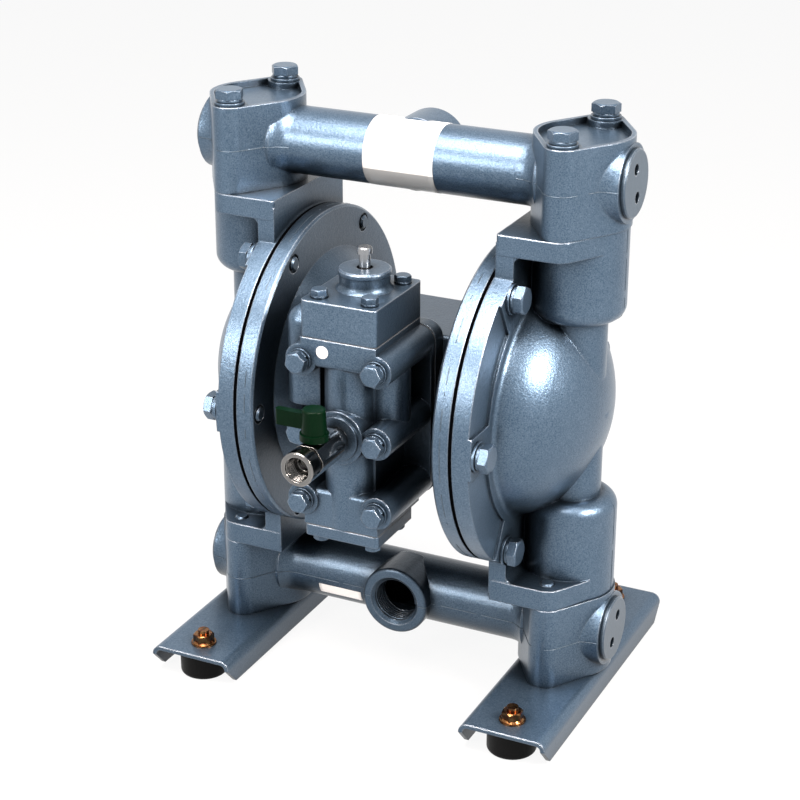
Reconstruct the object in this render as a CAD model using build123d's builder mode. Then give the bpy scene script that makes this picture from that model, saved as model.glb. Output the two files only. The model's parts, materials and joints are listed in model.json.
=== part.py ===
from build123d import *
import os
from math import asin, cos, degrees, radians, sin, sqrt

# Air operated double diaphragm pump, 1 inch class, cast aluminium.
# Millimetres. X runs along the piston rod, -Y is the front with the air valve and
# the suction port, Z is up, and the rubber feet stand on Z = 0.

# Overall layout: heights of the castings stacked on each column
channel_top = 22.0
block_height = 59.5
disc_radius = 113.0
joint_gap = 17.5
joint_rise = disc_radius + joint_gap
rod_height = channel_top + block_height + joint_rise

# Overall layout: distances along the rod, from the middle outwards
body_half_width = 50.0
air_floor_wall = 6.0
air_floor_x = body_half_width + air_floor_wall
dish_depth = 21.0
air_joint_x = air_floor_x + dish_depth
diaphragm_thickness = 2.5
fluid_flange_x = air_joint_x + diaphragm_thickness
column_offset = 39.5
column_x = fluid_flange_x + column_offset

# Clearances
play = 0.3
running_fit = 0.04
contact_gap = 0.02
flush_gap = 0.2

# Manifolds: a tube along X with an end block over each column
tube_radius = 23.2
tube_bore = 16.5
flare_radius = 29.0
flare_reach = 3.0
flare_depth = 10.0
block_radius = 33.0
bolt_spread = 77.0
bolt_boss_radius = 12.0
riser_bore = 15.0
port_radius = 25.0
port_reach = 31.6
port_rounding = 2.5
port_bore = 16.0
port_chamfer = 2.5
port_thread_length = 12.5
port_throat = 14.5
end_boss_radius = 26.0
end_boss_reach = 33.2
end_boss_root = 20.0
plug_bore = 19.6
plug_depth = 15.0
plug_head_radius = 22.7
plug_head_height = 3.2
plug_key_radius = 2.4
plug_key_spacing = 19.6
plug_key_depth = 5.0
plug_edge = 0.8
plug_end_gap = 1.0
scoop_depth = 4.6
scoop_rim = 3.2

# Fluid chambers
fluid_flange_thickness = 13.5
pad_height = 2.0
pad_ring_width = 27.0
pad_circle_radius = disc_radius - pad_ring_width
pad_width = 29.0
dome_setback = 1.7
dome_centre_x = fluid_flange_x - dome_setback
dome_reach = 64.7
dome_ledge = 5.6
dome_radius = pad_circle_radius - dome_ledge
dome_rise = 24.4
dome_shoulder = dome_radius - dome_rise
dome_wall = 5.5
dome_root_fillet = 4.0
column_radius = 20.4
column_bore = 14.0
upper_housing_height = 64.5
lower_housing_height = 70.0
housing_radius = 32.0
housing_rounding = 10.0
plate_setback = 1.0
plate_inner_x = fluid_flange_x + plate_setback
plate_half_depth = bolt_spread / 2 + bolt_boss_radius
plate_corner = 2.0
plate_end_radius = housing_radius - 0.5
web_half_depth = plate_half_depth - flush_gap
web_setback = 10.0
web_fillet = 5.0
upper_plate_thickness = 13.6
lower_plate_thickness = 15.0
bolt_edge = 9.5
bolt_circle_radius = disc_radius - bolt_edge
bolt_circle_count = 6

# Air chambers and diaphragms
air_flange_thickness = 12.0
air_seal_width = 35.0
air_chamber_opening = disc_radius - air_seal_width
air_dish_slope = 16.0
air_floor_radius = air_chamber_opening - air_dish_slope
air_back_radius = air_floor_radius + 8.0
air_rim_width = 29.0
air_flange_back_radius = disc_radius - air_rim_width
air_rim_edge = 1.5
tip_sink_radius = 6.6
tip_sink_depth = 1.4
diaphragm_inset = 0.6
diaphragm_radius = disc_radius - diaphragm_inset
diaphragm_flat_radius = 48.0
convolution_radius = 12.0
convolution_height = 9.0
convolution_ease = 1.0

# Rod assembly
rod_radius = 8.0
rod_end_radius = 6.0
rod_tip = 1.5
rod_edge = 1.0
disk_radius = 46.0
inner_disk_thickness = 8.5
outer_disk_thickness = 11.0
disk_edge = 3.0
disk_crown = 55.0
rod_nut_flats = 19.0
rod_nut_height = 8.0
bushing_radius = 11.0
bushing_length = 20.0
seal_radius = 12.5
seal_length = 5.0

# Centre body
body_front = -37.0
body_back = 35.0
body_half_height = 50.0
body_corner = 3.0
body_end_radius = 58.0
body_end_thickness = 8.0
mount_plate_thickness = 11.0
mount_plate_y = body_front - mount_plate_thickness
mount_plate_radius = 11.5
exhaust_boss_radius = 17.0
exhaust_boss_height = 6.0
exhaust_bore = 10.5
exhaust_depth = 14.0
body_screw_radius = 3.0
body_screw_head = 6.0
body_screw_circle = 40.0
body_screw_length = 20.0

# Pilot valves, one in each air chamber wall
pilot_rise = 30.0
pilot_pin_radius = 3.0
pilot_collar_radius = 5.6
pilot_bore = 6.0
pilot_bushing_length = 10.0
pilot_depth = 34.0
pilot_reach = 2.4
pilot_spring_radius = 4.4
pilot_spring_wire = 0.6

# Air valve on the front, measured from its seat on the centre body
gasket_thickness = 0.5
valve_back = mount_plate_y - gasket_thickness
valve_depth = 66.1
valve_front = valve_back - valve_depth
valve_bolt_spread = 54.0
valve_bolt_rise = 49.5
valve_arm_radius = 11.0
valve_top_rise = 65.4
valve_top = rod_height + valve_top_rise
valve_bottom_drop = 67.8
valve_bottom = rod_height - valve_bottom_drop
valve_block_height = 19.9
valve_block_bottom = valve_top - valve_block_height
valve_foot_height = 26.3
valve_foot_setback = 2.1
valve_foot_front = valve_front + valve_foot_setback
valve_edge_rounding = 3.5
core_half_width = 18.5
core_setback = 16.6
core_front = valve_front + core_setback
spool_column_radius = 17.0
spool_column_setback = 18.0
spool_column_y = valve_front + spool_column_setback
spool_axis_depth = 27.0
spool_axis_y = valve_back - spool_axis_depth
inlet_ring_radius = 18.6
inlet_ring_reach = 1.8
inlet_boss_radius = 15.2
inlet_boss_reach = 3.4
inlet_boss_front = valve_front - inlet_boss_reach
inlet_bore = 7.5
inlet_thread_depth = 12.0
left_lobe_rise = 13.0
left_lobe_bottom = rod_height + left_lobe_rise
left_lobe_half_width = 46.0
left_lobe_setback = 10.6
left_lobe_front = valve_front + left_lobe_setback
left_lobe_overrise = 13.6
left_lobe_top = valve_top + left_lobe_overrise
left_lobe_rounding = 11.0
right_lobe_x = 22.0
right_lobe_rise = 2.0
right_lobe_bottom = rod_height + right_lobe_rise
right_lobe_depth = 35.5
right_lobe_y = valve_back - right_lobe_depth
right_lobe_radius = 14.0
sleeve_radius = 13.0
spool_radius = 8.0
spool_waist = 5.0
spool_travel = 6.0
spool_top_gap = 1.4
spool_land_count = 5

# Valve cap, reset button and bottom cap
cap_half_width = 27.0
cap_corner = 3.0
cap_overhang = 2.5
cap_back = valve_back + cap_overhang
cap_height = 24.7
turret_base_radius = 19.0
turret_neck_radius = 16.6
turret_neck_rise = 4.0
turret_fillet = 6.0
turret_rim_radius = 17.5
turret_height = 13.9
turret_rim_height = 3.6
turret_edge = 1.0
turret_well_radius = 5.4
turret_well_depth = 6.0
cap_bore = 11.0
cap_roof = 2.8
cap_bolt_spread_x = 36.0
cap_bolt_spread_y = 48.0
button_stem_radius = 3.8
button_head_radius = 5.0
button_head_height = 4.6
button_edge = 0.8
button_proud = 14.0
collar_radius = 10.6
collar_height = 3.5
spring_wire = 0.8
spring_radius = 9.5
spring_turns = 4
bottom_cap_height = 8.0
bottom_cap_setback = 9.5
bottom_cap_back = valve_back - bottom_cap_setback
bottom_bolt_spread_x = 38.0
bottom_bolt_spread_y = 36.0

# Inlet ball valve
inlet_body_radius = 11.5
inlet_body_flats = 21.5
inlet_neck_radius = 8.6
inlet_neck_length = 6.0
inlet_body_start = inlet_boss_front - inlet_neck_length
inlet_shoulder = 1.5
inlet_body_reach = 40.0
inlet_body_end = inlet_boss_front - inlet_body_reach
inlet_groove_radius = 9.8
inlet_groove_length = 2.6
inlet_end_length = 13.5
inlet_end_face = inlet_body_end - inlet_end_length
inlet_end_bore = 8.4
inlet_thread_length = 11.0
inlet_edge = 0.6
stem_reach = 29.5
stem_y = inlet_boss_front - stem_reach
ball_radius = 8.0
ball_bore = 5.0
seat_length = 3.0
seat_setback = 1.0
stem_radius = 3.0
tang_width = 2.5
tang_depth = 2.0
stem_boss_radius = 6.2
stem_boss_height = 11.4
lever_hub_radius = 8.5
lever_hub_top_radius = 7.5
lever_edge = 1.2
lever_ring_radius = 9.4
lever_ring_height = 4.5
lever_bottom = 11.8
lever_height = 20.8
lever_reach = 27.0
lever_arm_width = 5.4
lever_arm_rounding = 2.2
lever_arm_bottom = 18.2
lever_arm_height = 10.6

# Ball check valves: seat, ball and cage stacked in each housing
stack_height = 53.0
stack_radius = 25.5
seat_height = 8.0
seat_bore = 14.0
seat_lip = 1.0
check_ball_radius = 16.5
check_ball_lift = 8.0
cage_wall = 3.5
cage_leg_width = 4.0
joint_ring_radius = 29.0
joint_ring_section = 1.2
joint_groove_clearance = 0.5

# Base channels and feet
channel_offset = 0.5
channel_x = column_x + channel_offset
channel_width = 62.0
channel_height = 19.0
channel_length = 232.0
channel_thickness = 3.0
channel_bend = 6.5
channel_nose = 11.0
foot_spread = 193.0
foot_radius = 17.0
foot_rounding = 3.0
foot_recess_radius = 9.5
foot_recess_depth = 8.0

# Fasteners: thread radius, width across flats, head height, washer radius, washer stack
M6 = (3.0, 10.0, 4.0, 6.0, 1.6)
M8 = (4.0, 13.0, 5.3, 8.0, 3.6)
M10 = (5.0, 17.0, 6.4, 10.2, 4.2)
cap_washer = 1.6
cap_bolt_depth = 12.0
chamber_bolt_tip = 1.5
manifold_bolt_tip = 1.3
thread_relief = 0.1
bolt_end_gap = 1.0
hole_clearance = 0.5
foot_nut_flange = 9.0
foot_nut_height = 7.5
foot_bolt_tip = 3.0

# Exhaust silencer
silencer_radius = 20.0
silencer_length = 124.5
silencer_rounding = 6.0
silencer_hex = 27.0
silencer_hex_height = 6.0
silencer_groove = 1.5
silencer_groove_pitch = 7.5
silencer_groove_count = 14

# Heights and planes that follow from the sizes above
lower_joint = channel_top + block_height
upper_joint = rod_height + joint_rise
fluid_face_x = fluid_flange_x + fluid_flange_thickness
air_back_x = air_joint_x - air_flange_thickness
air_floor_back = air_floor_x - air_floor_wall
stack_bottom_upper = upper_joint - stack_height
block_bolt_y = bolt_spread / 2
cap_bottom = valve_top + gasket_thickness
cap_top = cap_bottom + cap_height
cap_centre_y = (valve_front + cap_back) / 2
turret_top = cap_top + turret_height
bottom_cap_top = valve_bottom - gasket_thickness
bottom_cap_y = (valve_foot_front + bottom_cap_back) / 2
foot_y = foot_spread / 2
foot_height = channel_top - channel_thickness
silencer_face = body_back + exhaust_boss_height

rod_axis = Axis((0, 0, rod_height), (1, 0, 0))
axial_section = Plane(origin=(0, 0, rod_height), x_dir=(1, 0, 0), z_dir=(0, -1, 0))
level_section = Plane(origin=(0, 0, rod_height), x_dir=(1, 0, 0), z_dir=(0, 0, 1))
inlet_section = Plane(origin=(0, 0, rod_height), x_dir=(0, 1, 0), z_dir=(1, 0, 0))
inlet_axis = Axis((0, 0, rod_height), (0, 1, 0))
inlet_closed_bore = Plane(origin=(0, stem_y, rod_height), x_dir=(0, 1, 0), z_dir=(1, 0, 0))
spool_section = Plane(origin=(0, spool_axis_y, 0), x_dir=(1, 0, 0), z_dir=(0, -1, 0))
spool_axis = Axis((0, spool_axis_y, 0), (0, 0, 1))


def across_rod(x, side=1):
    """Plane square to the rod at x, facing away from the middle, with Z up."""
    return Plane(origin=(side * x, 0, rod_height), x_dir=(0, side, 0), z_dir=(side, 0, 0))


def facing_front(y, z=rod_height):
    """Plane at depth y that faces the front, with X to the right and Z up."""
    return Plane(origin=(0, y, z), x_dir=(1, 0, 0), z_dir=(0, -1, 0))


def headed_bolt(size, grip, tip):
    """Hex bolt with its washers: head up, washer seat at the origin, shank down."""
    radius, flats, head, washer, stack = size
    with BuildPart() as bolt:
        Cylinder(washer, stack, align=(Align.CENTER, Align.CENTER, Align.MIN))
        with BuildSketch(Plane.XY.offset(stack)):
            RegularPolygon(flats / 2, 6, major_radius=False)
        extrude(amount=head)
        with Locations((0, 0, -grip - tip)):
            Cylinder(
                radius - thread_relief, grip + tip, align=(Align.CENTER, Align.CENTER, Align.MIN)
            )
    return bolt.part


def repeated(piece, planes):
    """Separate copies of a piece made at the origin, one on each plane."""
    with BuildPart() as copies:
        with Locations(*planes):
            add(piece)
    return copies


def mirrored(piece):
    """The left hand counterpart of a right hand piece."""
    with BuildPart() as counterpart:
        add(piece)
        mirror(about=Plane.YZ, mode=Mode.REPLACE)
    return counterpart


def both_ends(x, z=rod_height):
    """Planes at x on both sides of the pump, facing outwards."""
    return [Plane(origin=(side * x, 0, z), x_dir=(0, side, 0), z_dir=(side, 0, 0)) for side in (-1, 1)]


def around_rod(x, radius, count, start=0):
    """Planes at x on both sides, spaced on a circle around the rod, facing outwards."""
    angles = [radians(start + step * 360 / count) for step in range(count)]
    return [
        Plane(
            origin=(side * x, radius * cos(angle), rod_height + radius * sin(angle)),
            x_dir=(0, 0, 1),
            z_dir=(side, 0, 0),
        )
        for side in (-1, 1)
        for angle in angles
    ]


# Manifolds. The tube carries the port in the middle and a plugged boss at each end.
def cast_manifold(bottom, port_side, scooped):
    """One manifold casting standing on its lower joint plane."""
    middle = bottom + block_height / 2
    tube = Plane(origin=(0, 0, middle), x_dir=(0, 1, 0), z_dir=(1, 0, 0))
    profile = Plane(origin=(0, 0, middle), x_dir=(1, 0, 0), z_dir=(0, -1, 0))
    tube_axis = Axis((0, 0, middle), (1, 0, 0))
    port = Plane(origin=(0, 0, middle), x_dir=(-port_side, 0, 0), z_dir=(0, port_side, 0))
    open_end = bottom if scooped else bottom + block_height
    block_face = column_x - block_radius
    end_face = column_x + end_boss_reach
    with BuildPart() as casting:
        with BuildSketch(Plane.XY.offset(bottom)):
            for side in (-1, 1):
                with BuildSketch(mode=Mode.PRIVATE) as block:
                    with Locations((side * column_x, block_bolt_y), (side * column_x, -block_bolt_y)):
                        Circle(bolt_boss_radius)
                    with Locations((side * column_x, 0)):
                        Circle(block_radius)
                    make_hull()
                add(block.sketch)
        extrude(amount=block_height)
        with BuildSketch(profile):
            with BuildLine():
                Line((-end_face, 0), (-end_face, end_boss_radius))
                Spline(
                    (-end_face, end_boss_radius),
                    (-column_x - end_boss_root, flare_radius),
                    tangents=((1, 0.05), (1, 0.6)),
                )
                Line(
                    (-column_x - end_boss_root, flare_radius),
                    (-block_face - flare_depth, flare_radius),
                )
                Spline(
                    (-block_face - flare_depth, flare_radius),
                    (-block_face + flare_reach, tube_radius),
                    tangents=((1, -1.2), (1, 0)),
                )
                Line((-block_face + flare_reach, tube_radius), (0, tube_radius))
                mirror(about=Plane.YZ)
                Line((-end_face, 0), (end_face, 0))
            make_face()
        revolve(axis=tube_axis)
        with BuildSketch(port):
            Circle(port_radius)
        extrude(amount=port_reach)
        port_faces = casting.faces().filter_by(Axis.Y).sort_by(Axis.Y)
        fillet(port_faces[-1 if port_side > 0 else 0].edges(), port_rounding)
        if scooped:
            with BuildSketch(Plane.XY.offset(bottom + block_height - scoop_depth)):
                for side in (-1, 1):
                    with BuildSketch(mode=Mode.PRIVATE) as dish:
                        with Locations(
                            (side * column_x, block_bolt_y), (side * column_x, -block_bolt_y)
                        ):
                            Circle(bolt_boss_radius - scoop_rim)
                        with Locations((side * column_x, 0)):
                            Circle(block_radius - scoop_rim)
                        make_hull()
                        with Locations(
                            (side * column_x, block_bolt_y), (side * column_x, -block_bolt_y)
                        ):
                            Circle(bolt_boss_radius, mode=Mode.SUBTRACT)
                    add(dish.sketch)
            extrude(amount=scoop_depth, mode=Mode.SUBTRACT)
        with BuildSketch(tube):
            Circle(tube_bore)
        extrude(amount=end_face, both=True, mode=Mode.SUBTRACT)
        for side in (-1, 1):
            plug_seat = Plane(origin=(side * (end_face - plug_depth), 0, middle), z_dir=(side, 0, 0))
            with BuildSketch(plug_seat):
                Circle(plug_bore)
            extrude(amount=plug_depth, mode=Mode.SUBTRACT)
        with BuildSketch(port):
            Circle(port_throat)
        extrude(amount=port_reach, mode=Mode.SUBTRACT)
        with BuildSketch(port.offset(port_reach - port_chamfer - port_thread_length)):
            Circle(port_bore)
        extrude(amount=port_thread_length, mode=Mode.SUBTRACT)
        with BuildSketch(port.offset(port_reach - port_chamfer)):
            Circle(port_bore)
        extrude(amount=port_chamfer, taper=-45, mode=Mode.SUBTRACT)
        with BuildSketch(Plane.XY.offset(middle)):
            with Locations((column_x, 0), (-column_x, 0)):
                Circle(riser_bore)
        extrude(amount=open_end - middle, mode=Mode.SUBTRACT)
        with BuildSketch(Plane.XY.offset(bottom)):
            with GridLocations(2 * column_x, bolt_spread, 2, 2):
                Circle(M10[0] + hole_clearance)
        extrude(amount=block_height, mode=Mode.SUBTRACT)
    return casting


suction_manifold = cast_manifold(channel_top, -1, False)
discharge_manifold = cast_manifold(upper_joint, 1, True)

with BuildPart() as plug:
    Cylinder(plug_head_radius, plug_head_height, align=(Align.CENTER, Align.CENTER, Align.MIN))
    chamfer(plug.edges().group_by(Axis.Z)[-1], plug_edge)
    with Locations((0, 0, plug_end_gap - plug_depth)):
        Cylinder(
            plug_bore - thread_relief,
            plug_depth - plug_end_gap,
            align=(Align.CENTER, Align.CENTER, Align.MIN),
        )
    with BuildSketch(Plane.XY.offset(plug_head_height - plug_key_depth)):
        with GridLocations(plug_key_spacing, 0, 2, 1):
            Circle(plug_key_radius)
    extrude(amount=plug_key_depth, mode=Mode.SUBTRACT)

plug_face_x = column_x + end_boss_reach
plug_planes = [
    Plane(origin=(side * plug_face_x, 0, z), x_dir=(0, 0, 1), z_dir=(side, 0, 0))
    for side in (-1, 1)
    for z in (channel_top + block_height / 2, upper_joint + block_height / 2)
]
manifold_plugs = repeated(plug.part, plug_planes)


def dome_outline(inset):
    """Closed half section of the dome: a wide front arc that runs into a tighter shoulder."""
    reach = dome_reach - inset
    shoulder = dome_shoulder - inset
    rise = dome_radius - dome_shoulder
    front = (reach**2 + rise**2 - shoulder**2) / (2 * (reach - shoulder))
    turn = degrees(asin(rise / (front - shoulder)))
    with BuildLine() as outline:
        nose = JernArc((dome_centre_x + reach, 0), (0, 1), front, turn)
        JernArc(nose @ 1, nose % 1, shoulder, 90 - turn)
        Polyline(
            (dome_centre_x, dome_radius - inset), (dome_centre_x, 0), (dome_centre_x + reach, 0)
        )
    return outline.line


# Fluid chambers: flange, dome, column, valve housings and joint plates in one casting.
with BuildPart() as out_chamber_right:
    with BuildSketch(across_rod(fluid_flange_x)):
        Circle(disc_radius)
    extrude(amount=plate_inner_x - fluid_flange_x)
    with BuildSketch(across_rod(plate_inner_x)):
        Circle(disc_radius)
        Rectangle(2 * web_half_depth, 2 * joint_rise - web_setback)
    extrude(amount=fluid_face_x - pad_height - plate_inner_x)
    with BuildSketch(across_rod(fluid_face_x - pad_height)):
        with PolarLocations(0, bolt_circle_count):
            Rectangle(disc_radius, pad_width, align=(Align.MIN, Align.CENTER))
        Circle(disc_radius, mode=Mode.INTERSECT)
        Circle(pad_circle_radius)
        Rectangle(2 * web_half_depth, 2 * joint_rise - web_setback)
    extrude(amount=pad_height)
    with BuildSketch(level_section) as dome:
        add(dome_outline(0))
        make_face()
        with Locations((plate_inner_x, 0)):
            Rectangle(
                fluid_face_x - plate_inner_x,
                pad_circle_radius - pad_height,
                align=(Align.MIN, Align.MIN),
            )
            Rectangle(dome_reach, disc_radius, align=(Align.MIN, Align.MIN), mode=Mode.INTERSECT)
        fillet(
            dome.vertices().sort_by_distance((fluid_face_x, dome_radius, 0))[0],
            dome_root_fillet,
        )
    revolve(axis=rod_axis)
    for joint, inward, thickness in (
        (upper_joint, -1, upper_plate_thickness),
        (lower_joint, 1, lower_plate_thickness),
    ):
        with BuildSketch(Plane.XY.offset(joint)):
            with Locations((column_x, block_bolt_y), (column_x, -block_bolt_y)):
                Circle(bolt_boss_radius)
            with Locations((column_x, 0)):
                Circle(plate_end_radius)
            with Locations((plate_inner_x + plate_corner, 0)):
                with GridLocations(0, 2 * (plate_half_depth - plate_corner), 1, 2):
                    Circle(plate_corner)
            make_hull()
        extrude(amount=inward * thickness)
        corner = (fluid_face_x, joint + inward * thickness)
        with BuildSketch(Plane.XZ):
            with Locations((corner[0] - flush_gap, corner[1] - inward * flush_gap)):
                Rectangle(
                    web_fillet + flush_gap,
                    web_fillet + flush_gap,
                    align=(Align.MIN, Align.MAX if inward < 0 else Align.MIN),
                )
            with Locations((corner[0] + web_fillet, corner[1] + inward * web_fillet)):
                Circle(web_fillet, mode=Mode.SUBTRACT)
        extrude(amount=web_half_depth - flush_gap, both=True)
    with BuildSketch(Plane.XZ) as housings:
        with Locations((column_x, upper_joint)):
            Rectangle(housing_radius, upper_housing_height, align=(Align.MIN, Align.MAX))
        with Locations((column_x, lower_joint)):
            Rectangle(housing_radius, lower_housing_height, align=(Align.MIN, Align.MIN))
        fillet(housings.vertices().group_by(Axis.X)[-1].sort_by(Axis.Y)[1:3], housing_rounding)
        with Locations((column_x, lower_joint)):
            Rectangle(column_radius, upper_joint - lower_joint, align=(Align.MIN, Align.MIN))
    revolve(axis=Axis((column_x, 0, 0), (0, 0, 1)))
    with BuildSketch(level_section):
        add(dome_outline(dome_wall))
        make_face()
        with Locations((fluid_flange_x, 0)):
            Rectangle(
                dome_reach, dome_radius, align=(Align.MIN, Align.MIN), mode=Mode.INTERSECT
            )
    revolve(axis=rod_axis, mode=Mode.SUBTRACT)
    with BuildSketch(Plane.XY.offset(lower_joint)):
        with Locations((column_x, 0)):
            Circle(column_bore)
    extrude(amount=upper_joint - lower_joint, mode=Mode.SUBTRACT)
    with BuildSketch(Plane.XY.offset(lower_joint)):
        with Locations((column_x, 0)):
            Circle(stack_radius)
    extrude(amount=stack_height, mode=Mode.SUBTRACT)
    with BuildSketch(Plane.XY.offset(stack_bottom_upper)):
        with Locations((column_x, 0)):
            Circle(stack_radius)
    extrude(amount=stack_height, mode=Mode.SUBTRACT)
    with BuildSketch(across_rod(fluid_flange_x)):
        with PolarLocations(bolt_circle_radius, bolt_circle_count):
            Circle(M10[0] + hole_clearance)
    extrude(amount=fluid_flange_thickness, mode=Mode.SUBTRACT)
    for joint, inward, thickness in (
        (upper_joint, -1, upper_plate_thickness),
        (lower_joint, 1, lower_plate_thickness),
    ):
        with BuildSketch(Plane.XY.offset(joint)):
            with Locations((column_x, block_bolt_y), (column_x, -block_bolt_y)):
                Circle(M10[0])
        extrude(amount=inward * thickness, mode=Mode.SUBTRACT)
        groove_depth = 2 * joint_ring_section
        with BuildSketch(Plane.XY.offset(joint)):
            with Locations((column_x, 0)):
                Circle(joint_ring_radius + joint_ring_section + joint_groove_clearance)
                Circle(
                    joint_ring_radius - joint_ring_section - joint_groove_clearance,
                    mode=Mode.SUBTRACT,
                )
        extrude(amount=inward * groove_depth, mode=Mode.SUBTRACT)

out_chamber_left = mirrored(out_chamber_right.part)


# Check valves: seat ring, ball and cage, the same stack in all four housings.
ball_rise = seat_height + sqrt(check_ball_radius**2 - seat_bore**2)
stop_rise = ball_rise + check_ball_radius + check_ball_lift + play

with BuildPart() as seat_ring:
    Cylinder(
        stack_radius - contact_gap, seat_height, align=(Align.CENTER, Align.CENTER, Align.MIN)
    )
    with BuildSketch():
        Circle(seat_bore - seat_lip)
    extrude(amount=seat_height, mode=Mode.SUBTRACT)
    with Locations((0, 0, ball_rise)):
        Sphere(check_ball_radius + play, mode=Mode.SUBTRACT)

with BuildPart() as ball_cage:
    with BuildSketch(Plane.XY.offset(seat_height)):
        with PolarLocations(0, 4, start_angle=45):
            Rectangle(stack_radius, cage_leg_width, align=(Align.MIN, Align.CENTER))
        Circle(stack_radius - contact_gap, mode=Mode.INTERSECT)
        Circle(check_ball_radius + 2 * play, mode=Mode.SUBTRACT)
    extrude(amount=stop_rise - seat_height)
    with BuildSketch(Plane.XY.offset(stop_rise)):
        Circle(stack_radius - contact_gap)
        Circle(stack_radius - cage_wall, mode=Mode.SUBTRACT)
        with PolarLocations(0, 4, start_angle=45):
            Rectangle(2 * stack_radius - cage_wall, cage_leg_width)
    extrude(amount=stack_height - stop_rise)

stack_planes = [
    Plane(origin=(side * column_x, 0, z))
    for z in (lower_joint, stack_bottom_upper)
    for side in (-1, 1)
]
valve_seats = repeated(seat_ring.part, stack_planes)
ball_cages = repeated(ball_cage.part, stack_planes)

with BuildPart() as check_ball:
    Sphere(check_ball_radius)

suction_ball_left, suction_ball_right, discharge_ball_left, discharge_ball_right = (
    repeated(check_ball.part, [plane.offset(ball_rise)]) for plane in stack_planes
)

with BuildPart() as joint_ring:
    Torus(joint_ring_radius, joint_ring_section)

ring_planes = [
    Plane(origin=(side * column_x, 0, z))
    for side in (-1, 1)
    for z in (lower_joint + joint_ring_section, upper_joint - joint_ring_section)
]
joint_o_rings = repeated(joint_ring.part, ring_planes)


# Air chambers: a shallow dish with the clamping flange and the tapped bolt bosses.
with BuildPart() as air_chamber_right:
    with BuildSketch(axial_section):
        with BuildLine():
            Polyline(
                (air_floor_x, seal_radius),
                (air_floor_x, air_floor_radius),
                (air_joint_x - air_floor_wall, air_chamber_opening),
                (air_joint_x, air_chamber_opening),
                (air_joint_x, disc_radius),
                (air_back_x + air_rim_edge, disc_radius),
                (air_back_x, disc_radius - air_rim_edge),
                (air_back_x, air_flange_back_radius),
                (air_floor_back, air_back_radius),
                (air_floor_back, rod_radius + play),
                (air_floor_x - seal_length, rod_radius + play),
                (air_floor_x - seal_length, seal_radius),
                close=True,
            )
        make_face()
    revolve(axis=rod_axis)
    with BuildSketch(across_rod(air_back_x)):
        with PolarLocations(bolt_circle_radius, bolt_circle_count):
            Circle(tip_sink_radius)
    extrude(amount=tip_sink_depth, mode=Mode.SUBTRACT)
    with BuildSketch(across_rod(air_back_x)):
        with PolarLocations(bolt_circle_radius, bolt_circle_count):
            Circle(M10[0])
    extrude(amount=air_flange_thickness, mode=Mode.SUBTRACT)
    with BuildSketch(across_rod(air_floor_back)):
        with PolarLocations(body_screw_circle, 4, start_angle=45):
            Circle(body_screw_radius + hole_clearance)
        with Locations((0, pilot_rise)):
            Circle(pilot_pin_radius + hole_clearance)
    extrude(amount=air_floor_wall, mode=Mode.SUBTRACT)
    with BuildSketch(across_rod(air_floor_x - body_screw_head + body_screw_radius)):
        with PolarLocations(body_screw_circle, 4, start_angle=45):
            Circle(body_screw_radius)
    extrude(amount=body_screw_head - body_screw_radius, taper=-45, mode=Mode.SUBTRACT)

air_chamber_left = mirrored(air_chamber_right.part)

with BuildPart() as diaphragm_right:
    with BuildSketch(axial_section):
        roll_start = diaphragm_flat_radius + convolution_ease
        roll_end = roll_start + 2 * convolution_radius
        with BuildLine():
            Line((air_joint_x, rod_end_radius + play), (air_joint_x, roll_start))
            ThreePointArc(
                (air_joint_x, roll_start),
                (air_joint_x + convolution_height, roll_start + convolution_radius),
                (air_joint_x, roll_end),
            )
            Line((air_joint_x, roll_end), (air_joint_x, diaphragm_radius))
            Line((air_joint_x, diaphragm_radius), (fluid_flange_x, diaphragm_radius))
            Line((fluid_flange_x, diaphragm_radius), (fluid_flange_x, roll_end + convolution_ease))
            ThreePointArc(
                (fluid_flange_x, roll_end + convolution_ease),
                (fluid_flange_x + convolution_height, roll_start + convolution_radius),
                (fluid_flange_x, diaphragm_flat_radius),
            )
            Line((fluid_flange_x, diaphragm_flat_radius), (fluid_flange_x, rod_end_radius + play))
            Line(
                (fluid_flange_x, rod_end_radius + play), (air_joint_x, rod_end_radius + play)
            )
        make_face()
    revolve(axis=rod_axis)
    with BuildSketch(across_rod(air_joint_x)):
        with PolarLocations(bolt_circle_radius, bolt_circle_count):
            Circle(M10[0])
    extrude(amount=diaphragm_thickness, mode=Mode.SUBTRACT)

diaphragm_left = mirrored(diaphragm_right.part)


# Rod assembly: the rod, a dished disk on each face of each diaphragm and the end nuts.
inner_disk_x = air_joint_x - play - inner_disk_thickness
outer_disk_x = fluid_flange_x + play
rod_shoulder_x = inner_disk_x
rod_end_x = outer_disk_x + outer_disk_thickness + rod_nut_height + rod_tip

with BuildPart() as center_rod:
    with BuildSketch(across_rod(0)):
        Circle(rod_radius)
    extrude(amount=rod_shoulder_x, both=True)
    with BuildSketch(across_rod(0)):
        Circle(rod_end_radius)
    extrude(amount=rod_end_x, both=True)
    chamfer(
        center_rod.edges().group_by(Axis.X)[0] + center_rod.edges().group_by(Axis.X)[-1],
        rod_edge,
    )

with BuildPart() as inner_disk_right:
    with BuildSketch(axial_section):
        with BuildLine():
            Polyline(
                (inner_disk_x, rod_end_radius + contact_gap),
                (inner_disk_x, disk_radius / 2),
                (inner_disk_x + inner_disk_thickness / 2, disk_radius - disk_edge),
                (inner_disk_x + inner_disk_thickness - disk_edge, disk_radius),
                (inner_disk_x + inner_disk_thickness, disk_radius - disk_edge),
                (inner_disk_x + inner_disk_thickness, rod_end_radius + contact_gap),
                close=True,
            )
        make_face()
    revolve(axis=rod_axis)

inner_disk_left = mirrored(inner_disk_right.part)

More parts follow.
